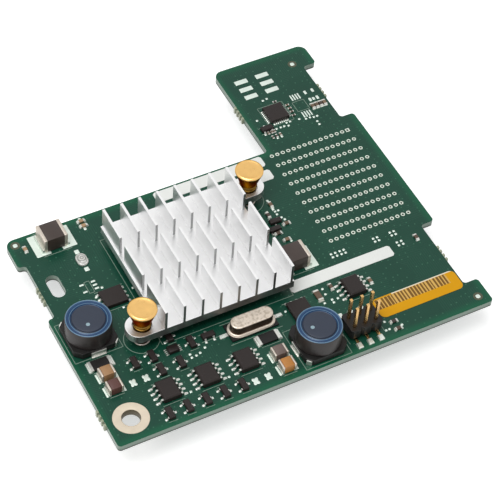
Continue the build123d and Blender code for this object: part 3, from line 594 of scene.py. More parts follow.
# Leads, bodies, and the fillet's length under a lead, length past it, height and, where it isn't
# 0.08 mm, how much wider than the lead it is at each side
fillets = [
    feet("soic_leads", "soic_bodies", 0.75, 0.3, 0.17),
    feet("sot_leads", "sot_bodies", 0.35, 0.28, 0.13),
    feet("power_chip_leads", "power_chip_bodies", 0.4, 0.3, 0.16),
    feet("quad_chip_leads", "quad_chip_body", 0.35, 0.25, 0.1),
    feet("small_part_ends", "small_part_bodies", 0.35, 0.28, 0.3),
    feet("sense_resistor_ends", "sense_resistor_bodies", 0.5, 0.45, 0.35),
    feet("crystal_leads", "crystal_base", 1.2, 0.35, 0.25),
    feet("ceramic_capacitor_caps", "ceramic_capacitor_bodies", 0.3, 0.28, 0.5),
    feet("block_capacitor_clips", "block_capacitor_bodies", 0.3, 0.5, 0.8),
    feet("header_posts", "header_body", 1.2, 0.35, 0.42, 0.35),
]
fit(skin("solder_fillets", *fillets), solder, "pad_solder")


# Alignment marks
# Round solder dots inside a clear ring of bare dark laminate, for the machine that places the
# parts. The ring is a shallow recess, drawn here as a thin dark washer.
dot_places = middles_of("alignment_marks")
dot_radius = 0.5 * mm
mark_dots = skin("mark_dots", domes(dot_places, 2 * dot_radius, 2 * dot_radius, 0.07 * mm))
fit(mark_dots, pad_finish, "pad_solder", "alignment_marks")
clear_radius, clear_height = 1.05 * mm, 0.01 * mm
clear_ring = washer(
    dot_radius + 0.05 * mm, clear_radius, board_high[2] - sunk, board_high[2] + clear_height
)
mark_rings = skin("mark_rings", turned_rings(dot_places, clear_ring, 40), closed_loop=True)
fit(mark_rings, finish("bare_laminate", (78, 82, 62), 0.6), "chip_laminate")


# Plated mounting hole
# Tin plated through the board: a wide ring on each face and a thin barrel between them, all in
# one skin. Its edges are soft, and screws have left it slightly dull.
hole_radius = 1.95 * mm
ring_low, ring_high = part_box("hole_plating")
ring_radius = ring_high[0]
lip = 0.06 * mm


def ring_face(face, top, up):
    """The ring's profile over one face of the board, from its rim into the hole. Up is 1 on the
    upper face and -1 on the lower one."""
    return [
        (ring_radius, face), (ring_radius, top - up * lip), (ring_radius - lip, top),
        (hole_radius + 2 * lip, top), (hole_radius + 0.3 * lip, top - 0.4 * up * lip),
        (hole_radius - 0.02 * mm, top - 1.5 * up * lip),
    ]


in_hole = [(hole_radius + 0.02 * mm, board_low[2]), (hole_radius + 0.02 * mm, board_high[2])]
ring_profile = in_hole + ring_face(board_high[2], ring_high[2], 1)
ring_profile += ring_face(board_low[2], ring_low[2], -1)[::-1]


def from_axis(tree, x, y):
    """Distance in plan from the upright line at x, y."""
    ends = {0: in_plan(tree), 1: (x, y, 0.0)}
    return add(tree, "ShaderNodeVectorMath", ends, operation="DISTANCE").outputs["Value"]


def shaded_hole_wall(tree, shade):
    """Painted shade in olive brown on the wall inside the hole."""
    out = from_axis(tree, 0, 0)
    inside = ramp(tree, out, hole_radius + 0.1 * mm, hole_radius + 0.01 * mm)
    return tinted(tree, shade, (92, 82, 58), inside)


tin = finish(
    "cream_tin", (226, 212, 190), 0.45, metallic=0.25, drift=(0.1, 1.5), grain=(0.25, 0.01),
    pattern=shaded_hole_wall,
)
plated_ring = skin("plated_ring", turned_rings([(0, 0)], ring_profile, 96), closed_loop=True)
fit(plated_ring, tin, "tin_plating", "hole_plating")


# Connector tails
# The connector's pins come up through the board and are soldered in tinned lands, ten rows of
# fifteen. Each land is a low ring of solder round its tail's hole, which is closed by a flat disc
# that carries painted shade. One corner land is square.
land_radius = 0.5 * mm
tail_radius = 0.23 * mm
land_places = middles_of("connector_lands")
level = board_high[2]


def near(radius, height, offsets):
    """Points (radius, height) of a profile, from offsets in mm to one of its corners."""
    return [(radius + out * mm, height + up * mm) for out, up in offsets]


def mark(piece, name, values):
    """Stores one number for each point of a piece, for its material to read."""
    attribute = piece.data.attributes.new(name, "FLOAT", "POINT")
    attribute.data.foreach_set("value", np.asarray(values, dtype=float).ravel())


land_profile = near(land_radius, level, [(0, -0.01), (-0.02, 0.06), (-0.12, 0.085)])
land_profile += near(tail_radius, level, [(0.03, 0.05), (0, 0.012)])
land_steps = 12
same_row = 0.4 * mm
square_first = np.all(land_places > land_places.max(axis=0) - same_row, axis=1)
round_lands = turned_rings(land_places[~square_first], land_profile, land_steps)
to_tail = (land_radius - tail_radius) / mm
square_rows = [
    (0, 0, 0), (0.02, 0.7, 0), (0.14, 1, 0), (to_tail - 0.03, 0.6, 0), (to_tail, 0.15, 0),
]
square_box = on_board(land_places[square_first], land_radius, -sunk, 0.085 * mm)
square_land = rounded_rings(*square_box, 0.06 * mm, square_rows, land_steps)
lands = skin("soldered_tails", round_lands, square_land)
# The last row of each land, the disc over its hole, stores 1 for the painted shade there
last_row_only = np.tile([0, 0, 0, 0, 1], len(land_places))
mark(lands, "hole", np.repeat(last_row_only, land_steps))


def stored(tree, name):
    """The number that a piece's points store under a name."""
    return add(tree, "ShaderNodeAttribute", attribute_name=name).outputs["Fac"]


def shaded_tail_holes(tree, shade):
    """Painted shade on the flat disc over the tail's hole; the solder stays bright."""
    return tinted(tree, shade, (46, 58, 48), ramp(tree, stored(tree, "hole"), 0.1, 0.75))


fit(
    lands,
    finish(
        "tinned_land", (226, 236, 222), 0.36, metallic=0.3, drift=(0.12, 0.6), pattern=shaded_tail_holes
    ),
    "land_copper", "connector_lands",
)


# Mezzanine connector
# A moulded black housing under the board with ten blades. Each blade carries a row of fifteen
# gold plated contacts, bowed springs stamped from strip.
dress("connector_housing", finish(
    "housing_plastic", (30, 30, 31), 0.5, drift=(0.12, 5), grain=(0.1, 0.01)
))
row_low, row_high = solids_of("connector_contact_rows")
contacts_per_row = 15
contact_width = 0.55 * mm
contact_thickness = 0.1 * mm
contact_bow = 0.14 * mm
along_contact = np.linspace(0, 1, 9)
contact_pitch = (row_high[:, 0] - row_low[:, 0]) / contacts_per_row
number = np.arange(contacts_per_row) + 0.5
contact_x = (row_low[:, 0, None] + number * contact_pitch[:, None]).ravel()
row_of = np.repeat(np.arange(len(row_low)), contacts_per_row)
bow = np.sin(pi * along_contact) ** 2 * contact_bow
contact_z = row_high[row_of, 2, None] - along_contact * (row_high - row_low)[row_of, 2, None]
back_y = row_high[row_of, 1, None] - bow
section = np.array([(0.5, 0), (0.5, -1), (-0.5, -1), (-0.5, 0)])
contact_rings = np.stack(
    np.broadcast_arrays(
        contact_x[:, None, None] + section[:, 0] * contact_width,
        back_y[..., None] + section[:, 1] * contact_thickness,
        contact_z[..., None],
    ),
    axis=-1,
)
contact_gold = finish("contact_gold", (224, 180, 96), 0.28, metallic=1.0, grain=(0.08, 0.004))
contact_springs = skin("contact_springs", contact_rings)
fit(contact_springs, contact_gold, "contact_metal", "connector_contact_rows")


# Controller chip
# A green laminate substrate under a nickel plated lid, with a soft grey thermal pad between
# the lid and the heatsink. Only its edges show below the heatsink.
dress("chip_substrate", finish("chip_laminate", (34, 66, 48), 0.5, grain=(0.2, 0.004)))
dress("chip_lid", finish("nickel_lid", (150, 150, 152), 0.4, metallic=0.9))
dress("thermal_pad", finish("grey_pad", (120, 124, 136), 0.8, grain=(0.12, 0.02)))


# Heatsink
# Extruded aluminium, clear anodised to a matt near-white, then sawn to length and cut across
# twice, so that its fins stand as separate plates. Their ends, the faces that look along Y,
# carry painted shade in grey. Fine lines run along them.
sink_white = (238, 238, 238)


def soften(node, name, width, material, slot, segments=2):
    """Replaces a CAD node with a copy whose edges are bevelled by a width in mm: its loose
    triangles are merged, and those in one plane made one face, before the bevel."""
    source = bmesh.new()
    source.from_mesh(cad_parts[node].data)
    bmesh.ops.remove_doubles(source, verts=source.verts, dist=same_corner)
    bmesh.ops.dissolve_limit(
        source, angle_limit=radians(1), verts=source.verts, edges=source.edges
    )
    mesh = bpy.data.meshes.new(name)
    source.to_mesh(mesh)
    source.free()
    piece = smooth_piece(name, mesh, 25)
    bevel = piece.modifiers.new("soft_edges", "BEVEL")
    bevel.width = width * mm
    bevel.segments = segments
    bevel.limit_method = "ANGLE"
    bevel.angle_limit = radians(40)
    bevel.harden_normals = True
    bevel.use_clamp_overlap = True
    fit(piece, material, slot, node)


def extrusion_lines(tree, height):
    """Grain drawn out along Y, as the die leaves it."""
    x, y, z = place_on_surface(tree)
    drawn = add(tree, "ShaderNodeCombineXYZ", {0: x, 1: product(tree, y, 0.04), 2: z})
    lines = noise(tree, 0.12 * mm, 2.0, drawn.outputs[0])
    return maths(tree, "MULTIPLY_ADD", lines, 1.5, height)


def shaded_fin_ends(tree, shade):
    """Painted shade: grey on the faces that look along Y, the fins' ends."""
    normal = add(tree, "ShaderNodeTexCoord").outputs["Normal"]
    along_y = add(tree, "ShaderNodeSeparateXYZ", {0: normal}).outputs[1]
    end_shade = ramp(tree, maths(tree, "ABSOLUTE", along_y), 0.6, 0.85)
    return tinted(tree, shade, (128, 130, 130), end_shade, 0.85)


soften(
    "heatsink", "finned_sink", 0.06,
    finish(
        "anodised_aluminium", sink_white, 0.36, metallic=1.0, drift=(0.03, 6), grain=(0.2, 0.006),
        roughness_drift=0.06, pattern=shaded_fin_ends, relief=extrusion_lines,
    ),
    "sink_aluminium",
)


# Push pins
# Turned from brass bar: a wide head with a bright chamfered rim, a hollow flare down to a
# grooved neck that sits in the heatsink's ear, a shaft, and a barb below the board.
pin_low, pin_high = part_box("push_pins")
head_top = pin_high[2]
ear_top = 6.4 * mm
seat = 5.6 * mm
head_radius, neck_radius, shaft_radius = 3.1 * mm, 1.85 * mm, 1.2 * mm
flare = np.linspace(0, 1, 9)
flare_foot, flare_top = ear_top + 1.35 * mm, head_top - 0.62 * mm
flare_radius = neck_radius + (head_radius - 0.1 * mm - neck_radius) * flare**0.95
flare_height = flare_foot + (flare_top - flare_foot) * flare
pin_profile = [
    (0.8 * mm, pin_low[2]), (1.75 * mm, -0.25 * mm), (1.75 * mm, 0.0), (shaft_radius, 0.0),
    (shaft_radius, seat), (neck_radius - 0.1 * mm, seat), (neck_radius, seat + 0.1 * mm),
]
pin_profile += near(neck_radius, ear_top, [
    (0, 0.3), (-0.2, 0.4), (-0.2, 0.85), (0.06, 0.95), (0.14, 1.05), (0.1, 1.2),
])
pin_profile += list(zip(flare_radius, flare_height))
pin_profile += near(head_radius, head_top, [
    (-0.02, -0.56), (0, -0.5), (0, -0.3), (-0.06, -0.2), (-0.3, -0.03), (-0.4, 0), (-0.52, 0),
    (-0.6, -0.04), (-1.55, -0.04), (-2.8, -0.03),
])
pin_steps = 72
pins = skin("turned_pins", turned_rings(pin_places, pin_profile, pin_steps), sharp=28)
run = np.concatenate([[0], np.cumsum(np.hypot(*np.diff(pin_profile, axis=0).T))])
mark(pins, "run", np.tile(np.repeat(run, pin_steps), len(pin_places)))


def turning_marks(tree, height):
    """Fine rings left by the lathe, from the distance along the pin's profile."""
    rings = add(
        tree, "ShaderNodeTexNoise",
        {"W": stored(tree, "run"), "Scale": 1 / (0.1 * mm), "Detail": 2.0}, noise_dimensions="1D",
    ).outputs["Fac"]
    return maths(tree, "MULTIPLY_ADD", rings, 1.2, height)


def shaded_underside(tree, shade):
    """Painted shade below the head: browner down its flared underside."""
    below = ramp(tree, place_on_surface(tree)[2], head_top - 0.4 * mm, head_top - 0.8 * mm)
    return tinted(tree, shade, (112, 82, 26), below, 0.9)


fit(
    pins,
    finish(
        "turned_brass", (232, 188, 118), 0.3, metallic=1.0, drift=(0.1, 1.2), grain=(0.12, 0.008),
        pattern=shaded_underside, relief=turning_marks, specular_tint=paint(120, 84, 36),
    ),
    "pin_brass", "push_pins",
)


# Pin springs
# Plain steel wire wound round each shaft between the board and the heatsink's ear. The end
# turns are closed flat, so that the coil stands square.
spring_low, spring_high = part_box("pin_springs")
wire = 0.42 * mm
coil_radius = 1.95 * mm - wire / 2
coil_turns, flat_turns = 3.6, 0.63
flat_share = flat_turns / coil_turns
spring_steps, wire_steps = 150, 10


def coil(place):
    """Rings of a wire along a helix. The height rises evenly with the turns, but not in the flat
    share of them at each end."""
    share = np.linspace(0, 1, spring_steps)
    free = np.clip((share - flat_share) / (1 - 2 * flat_share), 0, 1)
    turn = share * coil_turns * 2 * pi
    out = np.stack([np.cos(turn), np.sin(turn), 0 * turn], axis=-1)
    centre = out * coil_radius + np.array([*place, spring_low[2] + wire / 2])
    centre[:, 2] += (spring_high[2] - spring_low[2] - wire) * free
    angle = np.arange(wire_steps) / wire_steps * 2 * pi
    up = np.array([0, 0, 1.0])
    around = out[:, None] * np.cos(angle)[None, :, None] + up * -np.sin(angle)[None, :, None]
    return (centre[:, None] + around * wire / 2)[None]


spring_steel = finish("spring_steel", (176, 166, 158), 0.3, metallic=1.0, grain=(0.06, 0.004))
coil_springs = skin("coil_springs", *(coil(place) for place in pin_places))
fit(coil_springs, spring_steel, "spring_steel", "pin_springs")


# Shielded inductors
# A ferrite drum wound with wire stands in a ferrite shield ring on a moulded base. Blue epoxy
# is cast in the gap between them, and each drum has one printed dot.
black_plastic = finish(
    "black_plastic", (15, 13, 12), 0.45, drift=(0.14, 2), grain=(0.09, 0.008),
    specular_ior_level=0.35,
)
soften("inductor_bases", "moulded_bases", 0.08, black_plastic, "dark_plastic")
coil_places = middles_of("inductor_shields")
coil_floor, coil_top = (corner[2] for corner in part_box("inductor_shields"))
shield_radius, shield_wall, drum_radius = 4.9 * mm, 0.2 * mm, 3.65 * mm
shield_inside = shield_radius - shield_wall
shield_profile = near(shield_radius, coil_floor, [(-0.12, 0), (0, 0.12)])
shield_profile += near(shield_radius, coil_top, [(0, -0.3), (-0.04, -0.2), (-0.08, -0.18)])
shield_profile += [(shield_inside, coil_top - 0.2 * mm), (shield_inside, coil_floor)]
epoxy_profile = [(drum_radius, coil_floor), (shield_inside, coil_floor)]
epoxy_profile += near(shield_radius, coil_top, [
    (-0.2, -0.22), (-0.1, -0.17), (-0.13, -0.08), (-0.21, -0.03), (-0.3, -0.07), (-0.38, -0.2),
])
epoxy_profile += near(drum_radius, coil_top, [
    (0.52, -0.26), (0.4, -0.2), (0.33, -0.12), (0.25, -0.1), (0.17, -0.16), (0.1, -0.32),
    (0, -0.36),
])
drum_profile = [(drum_radius, coil_floor)] + near(drum_radius, coil_top, [
    (0, -0.36), (-0.12, -0.3), (-0.2, -0.08), (-0.26, -0.02), (-0.34, 0),
])
drum_profile += [(drum_radius * 0.5, coil_top), (0.2 * mm, coil_top)]


def epoxy_edge_highlights(tree, shade):
    """Painted highlights: two thin pale lines along the ring's edges, by height."""
    crest = ramp(tree, place_on_surface(tree)[2], coil_top - 0.2 * mm, coil_top - 0.08 * mm)
    return tinted(tree, shade, (120, 158, 186), crest, 0.75)


fit(
    skin("shield_rings", turned_rings(coil_places, shield_profile, 96), closed_loop=True),
    finish("shield_ferrite", (32, 26, 25), 0.46, drift=(0.16, 1.8), grain=(0.12, 0.012)),
    "ferrite", "inductor_shields",
)
fit(
    skin("cast_epoxy", turned_rings(coil_places, epoxy_profile, 96), closed_loop=True),
    finish(
        "cast_blue_epoxy", (13, 60, 102), 0.34, drift=(0.14, 1.5), grain=(0.5, 0.02),
        pattern=epoxy_edge_highlights,
    ),
    "blue_epoxy", "inductor_epoxy_rings",
)
fit(
    skin("ferrite_drums", turned_rings(coil_places, drum_profile, 96)),
    finish("drum_ferrite", (38, 47, 64), 0.44, drift=(0.08, 1.2), grain=(0.1, 0.01)),
    "drum_ferrite", "inductor_drums",
)
dot_offsets = np.array([(-0.76, -1.46), (-1.69, -0.04)]) * mm
print_radius = 0.42 * mm
dot_profile = near(print_radius, coil_top, [
    (0, -0.01), (0, 0.008), (-0.042, 0.012), (-0.336, 0.012),
])
fit(
    skin("printed_dots", turned_rings(coil_places + dot_offsets, dot_profile, 32)),
    finish("dot_ink", (150, 176, 186), 0.6, drift=(0.2, 0.3)), "white_paper",
)
terminal_tin = finish(
    "terminal_tin", (214, 214, 208), 0.3, metallic=0.85, drift=(0.1, 0.7), grain=(0.12, 0.01),
    roughness_drift=0.1,
)
soften("inductor_terminals", "coil_terminals", 0.06, terminal_tin, "terminal_tin")


# Moulded chips
# Black epoxy bodies with a fine matt grain, on bent or flat leads of tinned copper. Each
# body's parting edges are slightly rounded.
chip_plastic = finish(
    "chip_plastic", (31, 23, 21), 0.5, drift=(0.14, 2.2), grain=(0.08, 0.008),
    specular_ior_level=0.35,
)
for node, width in (
    ("soic_bodies", 0.07), ("sot_bodies", 0.05), ("power_chip_bodies", 0.05),
    ("quad_chip_body", 0.08),
):
    soften(node, node + "_soft", width, chip_plastic, "chip_plastic")
for node, width in (
    ("soic_leads", 0.04), ("sot_leads", 0.03), ("power_chip_leads", 0.04),
    ("quad_chip_leads", 0.03), ("crystal_leads", 0.05),
):
    soften(node, node + "_soft", width, terminal_tin, "terminal_tin", segments=1)


# Quartz crystal
# A drawn nickel plated can with rounded ends, welded by its rim to a flat base on a black
# insulator.
can_low, can_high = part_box("crystal_can")
rim, rim_lift = 0.6, 0.35
can_rows = [
    (0.05, 0, 0), (0, 0, 0.06), (0, 0, rim_lift - 0.08), (0.08, 0, rim_lift),
    (rim - 0.2, 0, rim_lift), (rim - 0.04, 0, rim_lift + 0.08), (rim, 0, rim_lift + 0.2),
    (rim, 1, -0.3), (rim + 0.03, 1, -0.16), (rim + 0.1, 1, -0.06), (rim + 0.22, 1, -0.01),
    (rim + 0.36, 1, 0),
]


def mottled_top_shaded_side(tree, shade):
    """A mottled top, and painted shade in dark brown on the can's side above its rim."""
    z = place_on_surface(tree)[2]
    above_rim = can_low[2] + rim_lift * mm
    side = ramp(tree, z, above_rim, above_rim + 0.3 * mm)
    top = ramp(tree, z, can_high[2] - 0.3 * mm, can_high[2] - 0.08 * mm)
    specks = ramp(tree, noise(tree, 0.6 * mm, 3.0), 0.44, 0.66)
    shade = tinted(tree, shade, (150, 134, 112), specks, top, 0.5)
    return tinted(tree, shade, (64, 42, 30), side, maths(tree, "SUBTRACT", 1.0, top), 0.95)


can_corner = (can_high - can_low)[1] / 2
fit(
    skin("crystal_cap", rounded_rings(can_low, can_high, can_corner, can_rows, 96)),
    finish(
        "nickel_can", (214, 202, 188), 0.42, metallic=0.85, drift=(0.16, 0.7), grain=(0.25, 0.02),
        roughness_drift=0.14, pattern=mottled_top_shaded_side,
    ),
    "can_metal", "crystal_can",
)
for node in ("crystal_base", "sense_resistor_bodies"):
    soften(node, node + "_soft", 0.06, black_plastic, "dark_plastic")


# Ceramic capacitors
# Fired ceramic bodies dipped at both ends in metal. The four small ones differ in colour from
# tan to grey brown, and the two large ones are nearly black.
body_low, body_high = solids_of("ceramic_capacitor_bodies")
brick_rows = [(0.1, 0, 0), (0, 0, 0.1), (0, 1, -0.14), (0.04, 1, -0.05), (0.13, 1, 0)]
bricks = rounded_rings(body_low, body_high, 0.14 * mm, brick_rows)
bodies = skin("ceramic_bricks", bricks)
right_pair = body_low[:, 0] > body_low[:, 0].mean()
pair_middle = np.where(
    right_pair, body_low[right_pair, 1].mean(), body_low[~right_pair, 1].mean()
)
at_back = body_low[:, 1] > pair_middle

# For the left pair's front and back body, and the right pair's
tone = np.choose(2 * right_pair + at_back, [0.1, 0.9, 0.65, 0.35])
mark(bodies, "tone", np.repeat(tone, bricks.shape[1] * bricks.shape[2]))


def ceramic_tones(tree, shade):
    """Brown, grey brown, tan orange and tan, by the number stored on each body."""
    colours = add(tree, "ShaderNodeValToRGB", {0: stored(tree, "tone")})
    band = colours.color_ramp
    band.interpolation = "CONSTANT"
    stops = (
        (0.0, (92, 58, 52)), (0.25, (112, 96, 90)), (0.5, (190, 128, 62)), (0.8, (170, 130, 90)),
    )
    while len(band.elements) < len(stops):
        band.elements.new(0.5)
    for element, (position, colour) in zip(band.elements, stops):
        element.position = position
        element.color = paint(*colour)
    return add(
        tree, "ShaderNodeMix", {0: 1.0, 6: colours.outputs[0], 7: shade}, data_type="RGBA",
        blend_type="MULTIPLY",
    ).outputs[2]


fit(
    bodies,
    finish(
        "fired_ceramic", (255, 255, 255), 0.4, drift=(0.08, 0.8), grain=(0.15, 0.01),
        pattern=ceramic_tones,
    ),
    "fired_ceramic", "ceramic_capacitor_bodies",
)
dark_ceramic = finish("dark_ceramic", (60, 48, 43), 0.38, drift=(0.14, 1.5), grain=(0.2, 0.012))
block_low, block_high = solids_of("block_capacitor_bodies")
large_bricks = rounded_rings(block_low, block_high, 0.2 * mm, brick_rows)
large_bodies = skin("large_ceramic_bricks", large_bricks)
fit(large_bodies, dark_ceramic, "block_plastic", "block_capacitor_bodies")
cap_rows = [(0.12, 0, 0), (0, 0, 0.12), (0, 1, -0.16), (0.05, 1, -0.06), (0.16, 1, 0)]
cap_metal = finish(
    "dipped_ends", (206, 196, 184), 0.38, metallic=0.7, drift=(0.12, 0.6), grain=(0.14, 0.02),
    roughness_drift=0.12,
)
small_caps = rounded_rings(*solids_of("ceramic_capacitor_caps"), 0.16 * mm, cap_rows)
fit(skin("dipped_caps", small_caps), cap_metal, "terminal_tin", "ceramic_capacitor_caps")
low, high = solids_of("block_capacitor_clips")
apart = (low + high)[:, None, 0] / 2 - (block_low + block_high)[None, :, 0] / 2
side = np.sign(apart[np.arange(len(low)), np.argmin(np.abs(apart), axis=1)])
dip = 0.4 * mm
low[:, 0] -= np.where(side > 0, dip, 0)
high[:, 0] += np.where(side < 0, dip, 0)
low[:, 1] -= 0.04 * mm
high[:, 1:] += 0.04 * mm
large_caps = skin("large_dipped_caps", rounded_rings(low, high, 0.22 * mm, cap_rows))
fit(large_caps, cap_metal, "terminal_tin", "block_capacitor_clips")
end_rows = [(0.05, 0, 0), (0, 0, 0.05), (0, 1, -0.08), (0.07, 1, 0)]
for node in ("sense_resistor_ends", "small_part_ends"):
    dipped = skin(node + "_dipped", rounded_rings(*solids_of(node), 0.08 * mm, end_rows))
    fit(dipped, terminal_tin, "terminal_tin", node)


# Small chips
# Two-ended resistors and capacitors: fired ceramic bodies, dark or brown, with both ends dipped
# in metal and soldered down. The smallest are 1 mm long. Three small leaded chips are with them.
small_low, small_high = solids_of("small_part_bodies")
small_rows = [(0.03, 0, 0), (0, 0, 0.04), (0, 1, -0.06), (0.05, 1, 0)]

# Middle (x, y) and length along X and along Y of the smallest ones, in millimetres on the card
smallest = np.array([
    (61.7, 57.6, 0.55, 1.0), (62.5, 57.6, 0.55, 1.0), (63.2, 57.6, 0.55, 1.0),
    (62.0, 56.05, 0.55, 1.0), (63.0, 56.1, 0.55, 1.0), (64.0, 56.2, 0.55, 1.0),
    (69.75, 63.7, 1.0, 0.5), (69.8, 62.6, 1.0, 0.5), (69.75, 61.5, 1.0, 0.5),
    (69.6, 60.3, 1.0, 0.5), (67.6, 65.85, 1.0, 0.5),
]) * mm
end_length = 0.27 * mm
lengthwise = smallest[:, 2] > smallest[:, 3]
tiny_low, tiny_high = on_board(smallest[:, :2], smallest[:, 2:] / 2, 0, 0.36 * mm)
shrink = np.stack([lengthwise, ~lengthwise, 0 * lengthwise], axis=1) * end_length
core_low, core_high = tiny_low + shrink, tiny_high - shrink
near_high = np.where(shrink > 0, tiny_low + end_length, tiny_high)
far_low = np.where(shrink > 0, tiny_high - end_length, tiny_low)
small_steps = 8
small_bodies = skin(
    "small_bodies", rounded_rings(small_low, small_high, 0.05 * mm, small_rows, small_steps),
    rounded_rings(core_low, core_high, 0.05 * mm, small_rows, small_steps),
)
small_middle = (np.vstack([small_low, core_low]) + np.vstack([small_high, core_high])) / 2

# The bodies at the left back are tan. The others step through the darker browns in turn
tan_right, tan_front = 20 * mm, 40 * mm
is_tan = (small_middle[:, 0] < tan_right) & (small_middle[:, 1] > tan_front)
brown_step, brownest = 0.37, 0.45
brown = np.where(is_tan, 1.0, (np.arange(len(small_middle)) * brown_step) % brownest)
mark(small_bodies, "brown", np.repeat(brown, len(small_rows) * small_steps))


def body_browns(tree, shade):
    """From near black to tan, by the number stored on each body."""
    return tinted(tree, shade, (178, 146, 112), stored(tree, "brown"))


fit(
    small_bodies,
    finish("small_ceramic", (46, 36, 33), 0.42, drift=(0.12, 0.5), pattern=body_browns),
    "small_ceramic", "small_part_bodies",
)
near_ends = rounded_rings(tiny_low, near_high, 0.06 * mm, small_rows, small_steps)
far_ends = rounded_rings(far_low, tiny_high, 0.06 * mm, small_rows, small_steps)
fit(skin("smallest_ends", near_ends, far_ends), terminal_tin, "terminal_tin")

# Middles of two more three-lead chips beside the heatsink and of a fine-leaded one before it
beside = np.array([(50.5, 33.45), (49.35, 31.45), (15.0, 11.6)]) * mm
beside_half = np.array([(1.4, 0.62), (1.4, 0.62), (1.2, 0.9)]) * mm
beside_rows = [(0.05, 0, 0), (0, 0.45, 0), (0.07, 1, -0.04), (0.12, 1, 0)]
beside_boxes = on_board(beside, beside_half, 0.1 * mm, 0.95 * mm)
beside_rings = rounded_rings(*beside_boxes, 0.08 * mm, beside_rows, steps=12)
fit(skin("chips_beside", beside_rings), chip_plastic, "chip_plastic")
beside_leads = np.vstack([
    beside[0] + np.array([(-0.95, 0.85), (0.95, 0.85), (-0.2, -0.85)]) * mm,
    beside[1] + np.array([(-0.95, 0.85), (-0.95, -0.85), (0.95, -0.85)]) * mm,
])
fine_leads = beside[2] + np.array([
    (side * 1.5, (place - 1.5) * 0.45) for side in (-1, 1) for place in range(4)
]) * mm
wide_domes = domes(beside_leads, 0.45 * mm, 0.7 * mm, 0.3 * mm)
fine_domes = domes(fine_leads, 0.7 * mm, 0.25 * mm, 0.22 * mm)
fit(skin("chips_beside_leads", wide_domes, fine_domes), terminal_tin, "terminal_tin")


# Indicator lens
# A pale cast lens with a low dome over a reflector cup, clear enough to show the cup's rim. It
# was cast on a small base, which is soldered between two pads.
lens_low, lens_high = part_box("indicator_lens")
lens_rows = [
    (0.1, 0, 0), (0, 0, 0.1), (0, 0.45, 0), (0.12, 0.55, 0), (0.3, 0.6, 0), (0.42, 0.75, 0),
    (0.6, 0.92, 0), (0.85, 1, 0),
]
lens_half = (lens_high - lens_low)[0] / 2


def cup_rings(tree, shade):
    """The cup's rim and the chip's edge seen through the lens, as two grey rings."""
    out = from_axis(tree, *middles_of("indicator_lens")[0])
    for radius in (0.34 * mm, 0.86 * mm):
        away = maths(tree, "ABSOLUTE", maths(tree, "SUBTRACT", out, radius))
        shade = tinted(tree, shade, (104, 104, 98), ramp(tree, away, 0.14 * mm, 0.04 * mm), 0.7)
    return shade


fit(
    skin("lens_dome", rounded_rings(lens_low, lens_high, lens_half, lens_rows, 64)),
    finish(
        "cast_lens", (206, 206, 200), 0.16, drift=(0.2, 0.5), pattern=cup_rings, coat_weight=0.6,
        coat_roughness=0.08,
    ),
    "lens_plastic", "indicator_lens",
)


# Pin header
# Two rows of three square posts in a notched black insulator, with flat feet soldered to the
# board. The posts are gold plated over nickel.
soften("header_body", "header_insulator", 0.08, black_plastic, "dark_plastic")
soften(
    "header_posts", "header_gold_posts", 0.1,
    finish("post_gold", (220, 178, 118), 0.24, metallic=1.0, drift=(0.1, 2), grain=(0.1, 0.004)),
    "post_gold",
)


# Paper labels
# Plain white strips and one gold film label, pressed on. The gold one carries a band of plain
# brown stripes of mixed widths under a pale line.
white_paper = finish("white_paper", (246, 248, 244), 0.62, drift=(0.03, 4), grain=(0.2, 0.01))
soften("white_labels", "white_strips", 0.03, white_paper, "white_paper", segments=1)
gold_low, gold_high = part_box("gold_label")
stripe_pitch = 0.8 * mm
stripe_left, stripe_right = gold_low[0] + 0.5 * mm, gold_high[0] - 2.2 * mm
stripe_front, stripe_back = gold_low[1] + 2.25 * mm, gold_high[1] - 0.35 * mm
line_left = gold_low[0] + 5.0 * mm


def stripes(tree, shade):
    """One bar for each step along X, its width by a random number, on a paler band of the
    label, with a pale line along the back edge."""
    x, y = place_on_surface(tree)[:2]
    along = maths(tree, "DIVIDE", x, stripe_pitch)
    step = maths(tree, "FLOOR", along)
    chance = add(
        tree, "ShaderNodeTexWhiteNoise", {"W": step}, noise_dimensions="1D"
    ).outputs["Value"]
    wide = maths(tree, "MULTIPLY_ADD", chance, 0.5, 0.3)
    bar = maths(tree, "LESS_THAN", maths(tree, "SUBTRACT", along, step), wide)
    depth = depth_inside(tree, stripe_left, stripe_front, stripe_right, stripe_back)
    band = maths(tree, "GREATER_THAN", depth, 0.0)
    shade = tinted(tree, shade, (226, 196, 128), band, 0.55)
    shade = tinted(tree, shade, (124, 88, 32), band, bar)
    line = maths(tree, "GREATER_THAN", y, gold_high[1] - 0.3 * mm)
    right_of = maths(tree, "GREATER_THAN", x, line_left)
    return tinted(tree, shade, (244, 238, 218), line, right_of, 0.9)


soften(
    "gold_label", "gold_film", 0.03,
    finish(
        "gold_film", (226, 162, 0), 0.5, drift=(0.05, 3), pattern=stripes, specular_ior_level=0.3
    ),
    "gold_paper", segments=1,
)


# Floor, lamps and camera
# A plain white floor under the card, one large soft lamp high on the left, and the camera at the
# photograph's place. The floor shows white to the camera and keeps the card's shadow.
floor_size = 3.0
floor_level = cad_box[0][2]
floor_lift = 0.55
room_light = 0.3
centre = np.array([0.04, 0.03, 0.003])
key_offset = np.array([-0.3, -0.12, 0.85])


def seen_directly(tree):
    """1 for the camera's rays, also where they are mirrored or go through something."""
    rays = add(tree, "ShaderNodeLightPath").outputs
    seen = maths(tree, "MAXIMUM", rays["Is Camera Ray"], rays["Is Glossy Ray"])
    return maths(tree, "MAXIMUM", seen, rays["Is Transmission Ray"])


def turn(thing, right, up, back, place):
    """Puts a lamp or camera at a place, turned by its three directions."""
    columns = zip(right, up, back, place)
    thing.matrix_world = Matrix([*(list(row) for row in columns), [0, 0, 0, 1]])


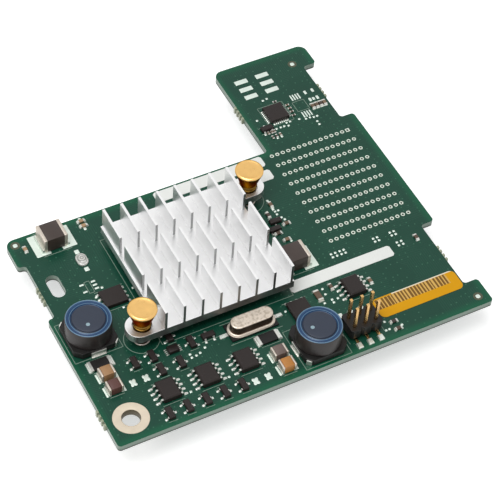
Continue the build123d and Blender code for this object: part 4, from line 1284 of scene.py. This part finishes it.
floor_mesh = bpy.data.meshes.new("floor")
corners = [(-1, -1), (1, -1), (1, 1), (-1, 1)]
floor_mesh.from_pydata(
    [(x * floor_size, y * floor_size, floor_level) for x, y in corners], [], [(0, 1, 2, 3)]
)
floor_paper = bpy.data.materials.new("floor_paper")
floor_paper.use_nodes = True
floor_tree = floor_paper.node_tree
floor_shader = floor_tree.nodes["Principled BSDF"].inputs
floor_shader["Base Color"].default_value = (0.9, 0.9, 0.9, 1)
floor_shader["Roughness"].default_value = 0.9
floor_shader["Emission Color"].default_value = (1, 1, 1, 1)
floor_glow = product(floor_tree, seen_directly(floor_tree), floor_lift)
floor_tree.links.new(floor_glow, floor_shader["Emission Strength"])
floor_mesh.materials.append(floor_paper)
floor = in_scene("floor", floor_mesh)

world = bpy.data.worlds.new("studio")
bpy.context.scene.world = world
world.use_nodes = True
world_tree = world.node_tree
world_tree.nodes.clear()
room, backdrop = (
    add(world_tree, "ShaderNodeBackground", {"Color": (1, 1, 1, 1), "Strength": strength})
    for strength in (room_light, 1.0)
)
shown = add(
    world_tree, "ShaderNodeMixShader",
    {0: seen_directly(world_tree), 1: room.outputs[0], 2: backdrop.outputs[0]},
)
add(world_tree, "ShaderNodeOutputWorld", {"Surface": shown.outputs[0]})

key_light = bpy.data.lights.new("key_lamp", "AREA")
key_light.shape = "SQUARE"
key_light.size = 0.6
key_light.energy = 5.7
key_back = key_offset / np.linalg.norm(key_offset)
key_right = np.cross([0, 0, 1.0], key_back)
key_right /= np.linalg.norm(key_right)
key_up = np.cross(key_back, key_right)
turn(in_scene("key_lamp", key_light), key_right, key_up, key_back, centre + key_offset)

camera_data = bpy.data.cameras.new("camera")
camera_data.lens = 135.93
camera_data.sensor_width = 36
camera_data.clip_start = 0.01
camera = in_scene("camera", camera_data)
camera_right = (0.88497, -0.46199, 0.05827)
camera_up = (0.32184, 0.69729, 0.64048)
camera_back = (-0.33653, -0.54805, 0.76576)
camera_place = (-0.0950959, -0.1942649, 0.3133090)
turn(camera, camera_right, camera_up, camera_back, camera_place)
bpy.context.scene.camera = camera
bpy.context.scene.view_settings.view_transform = "Standard"
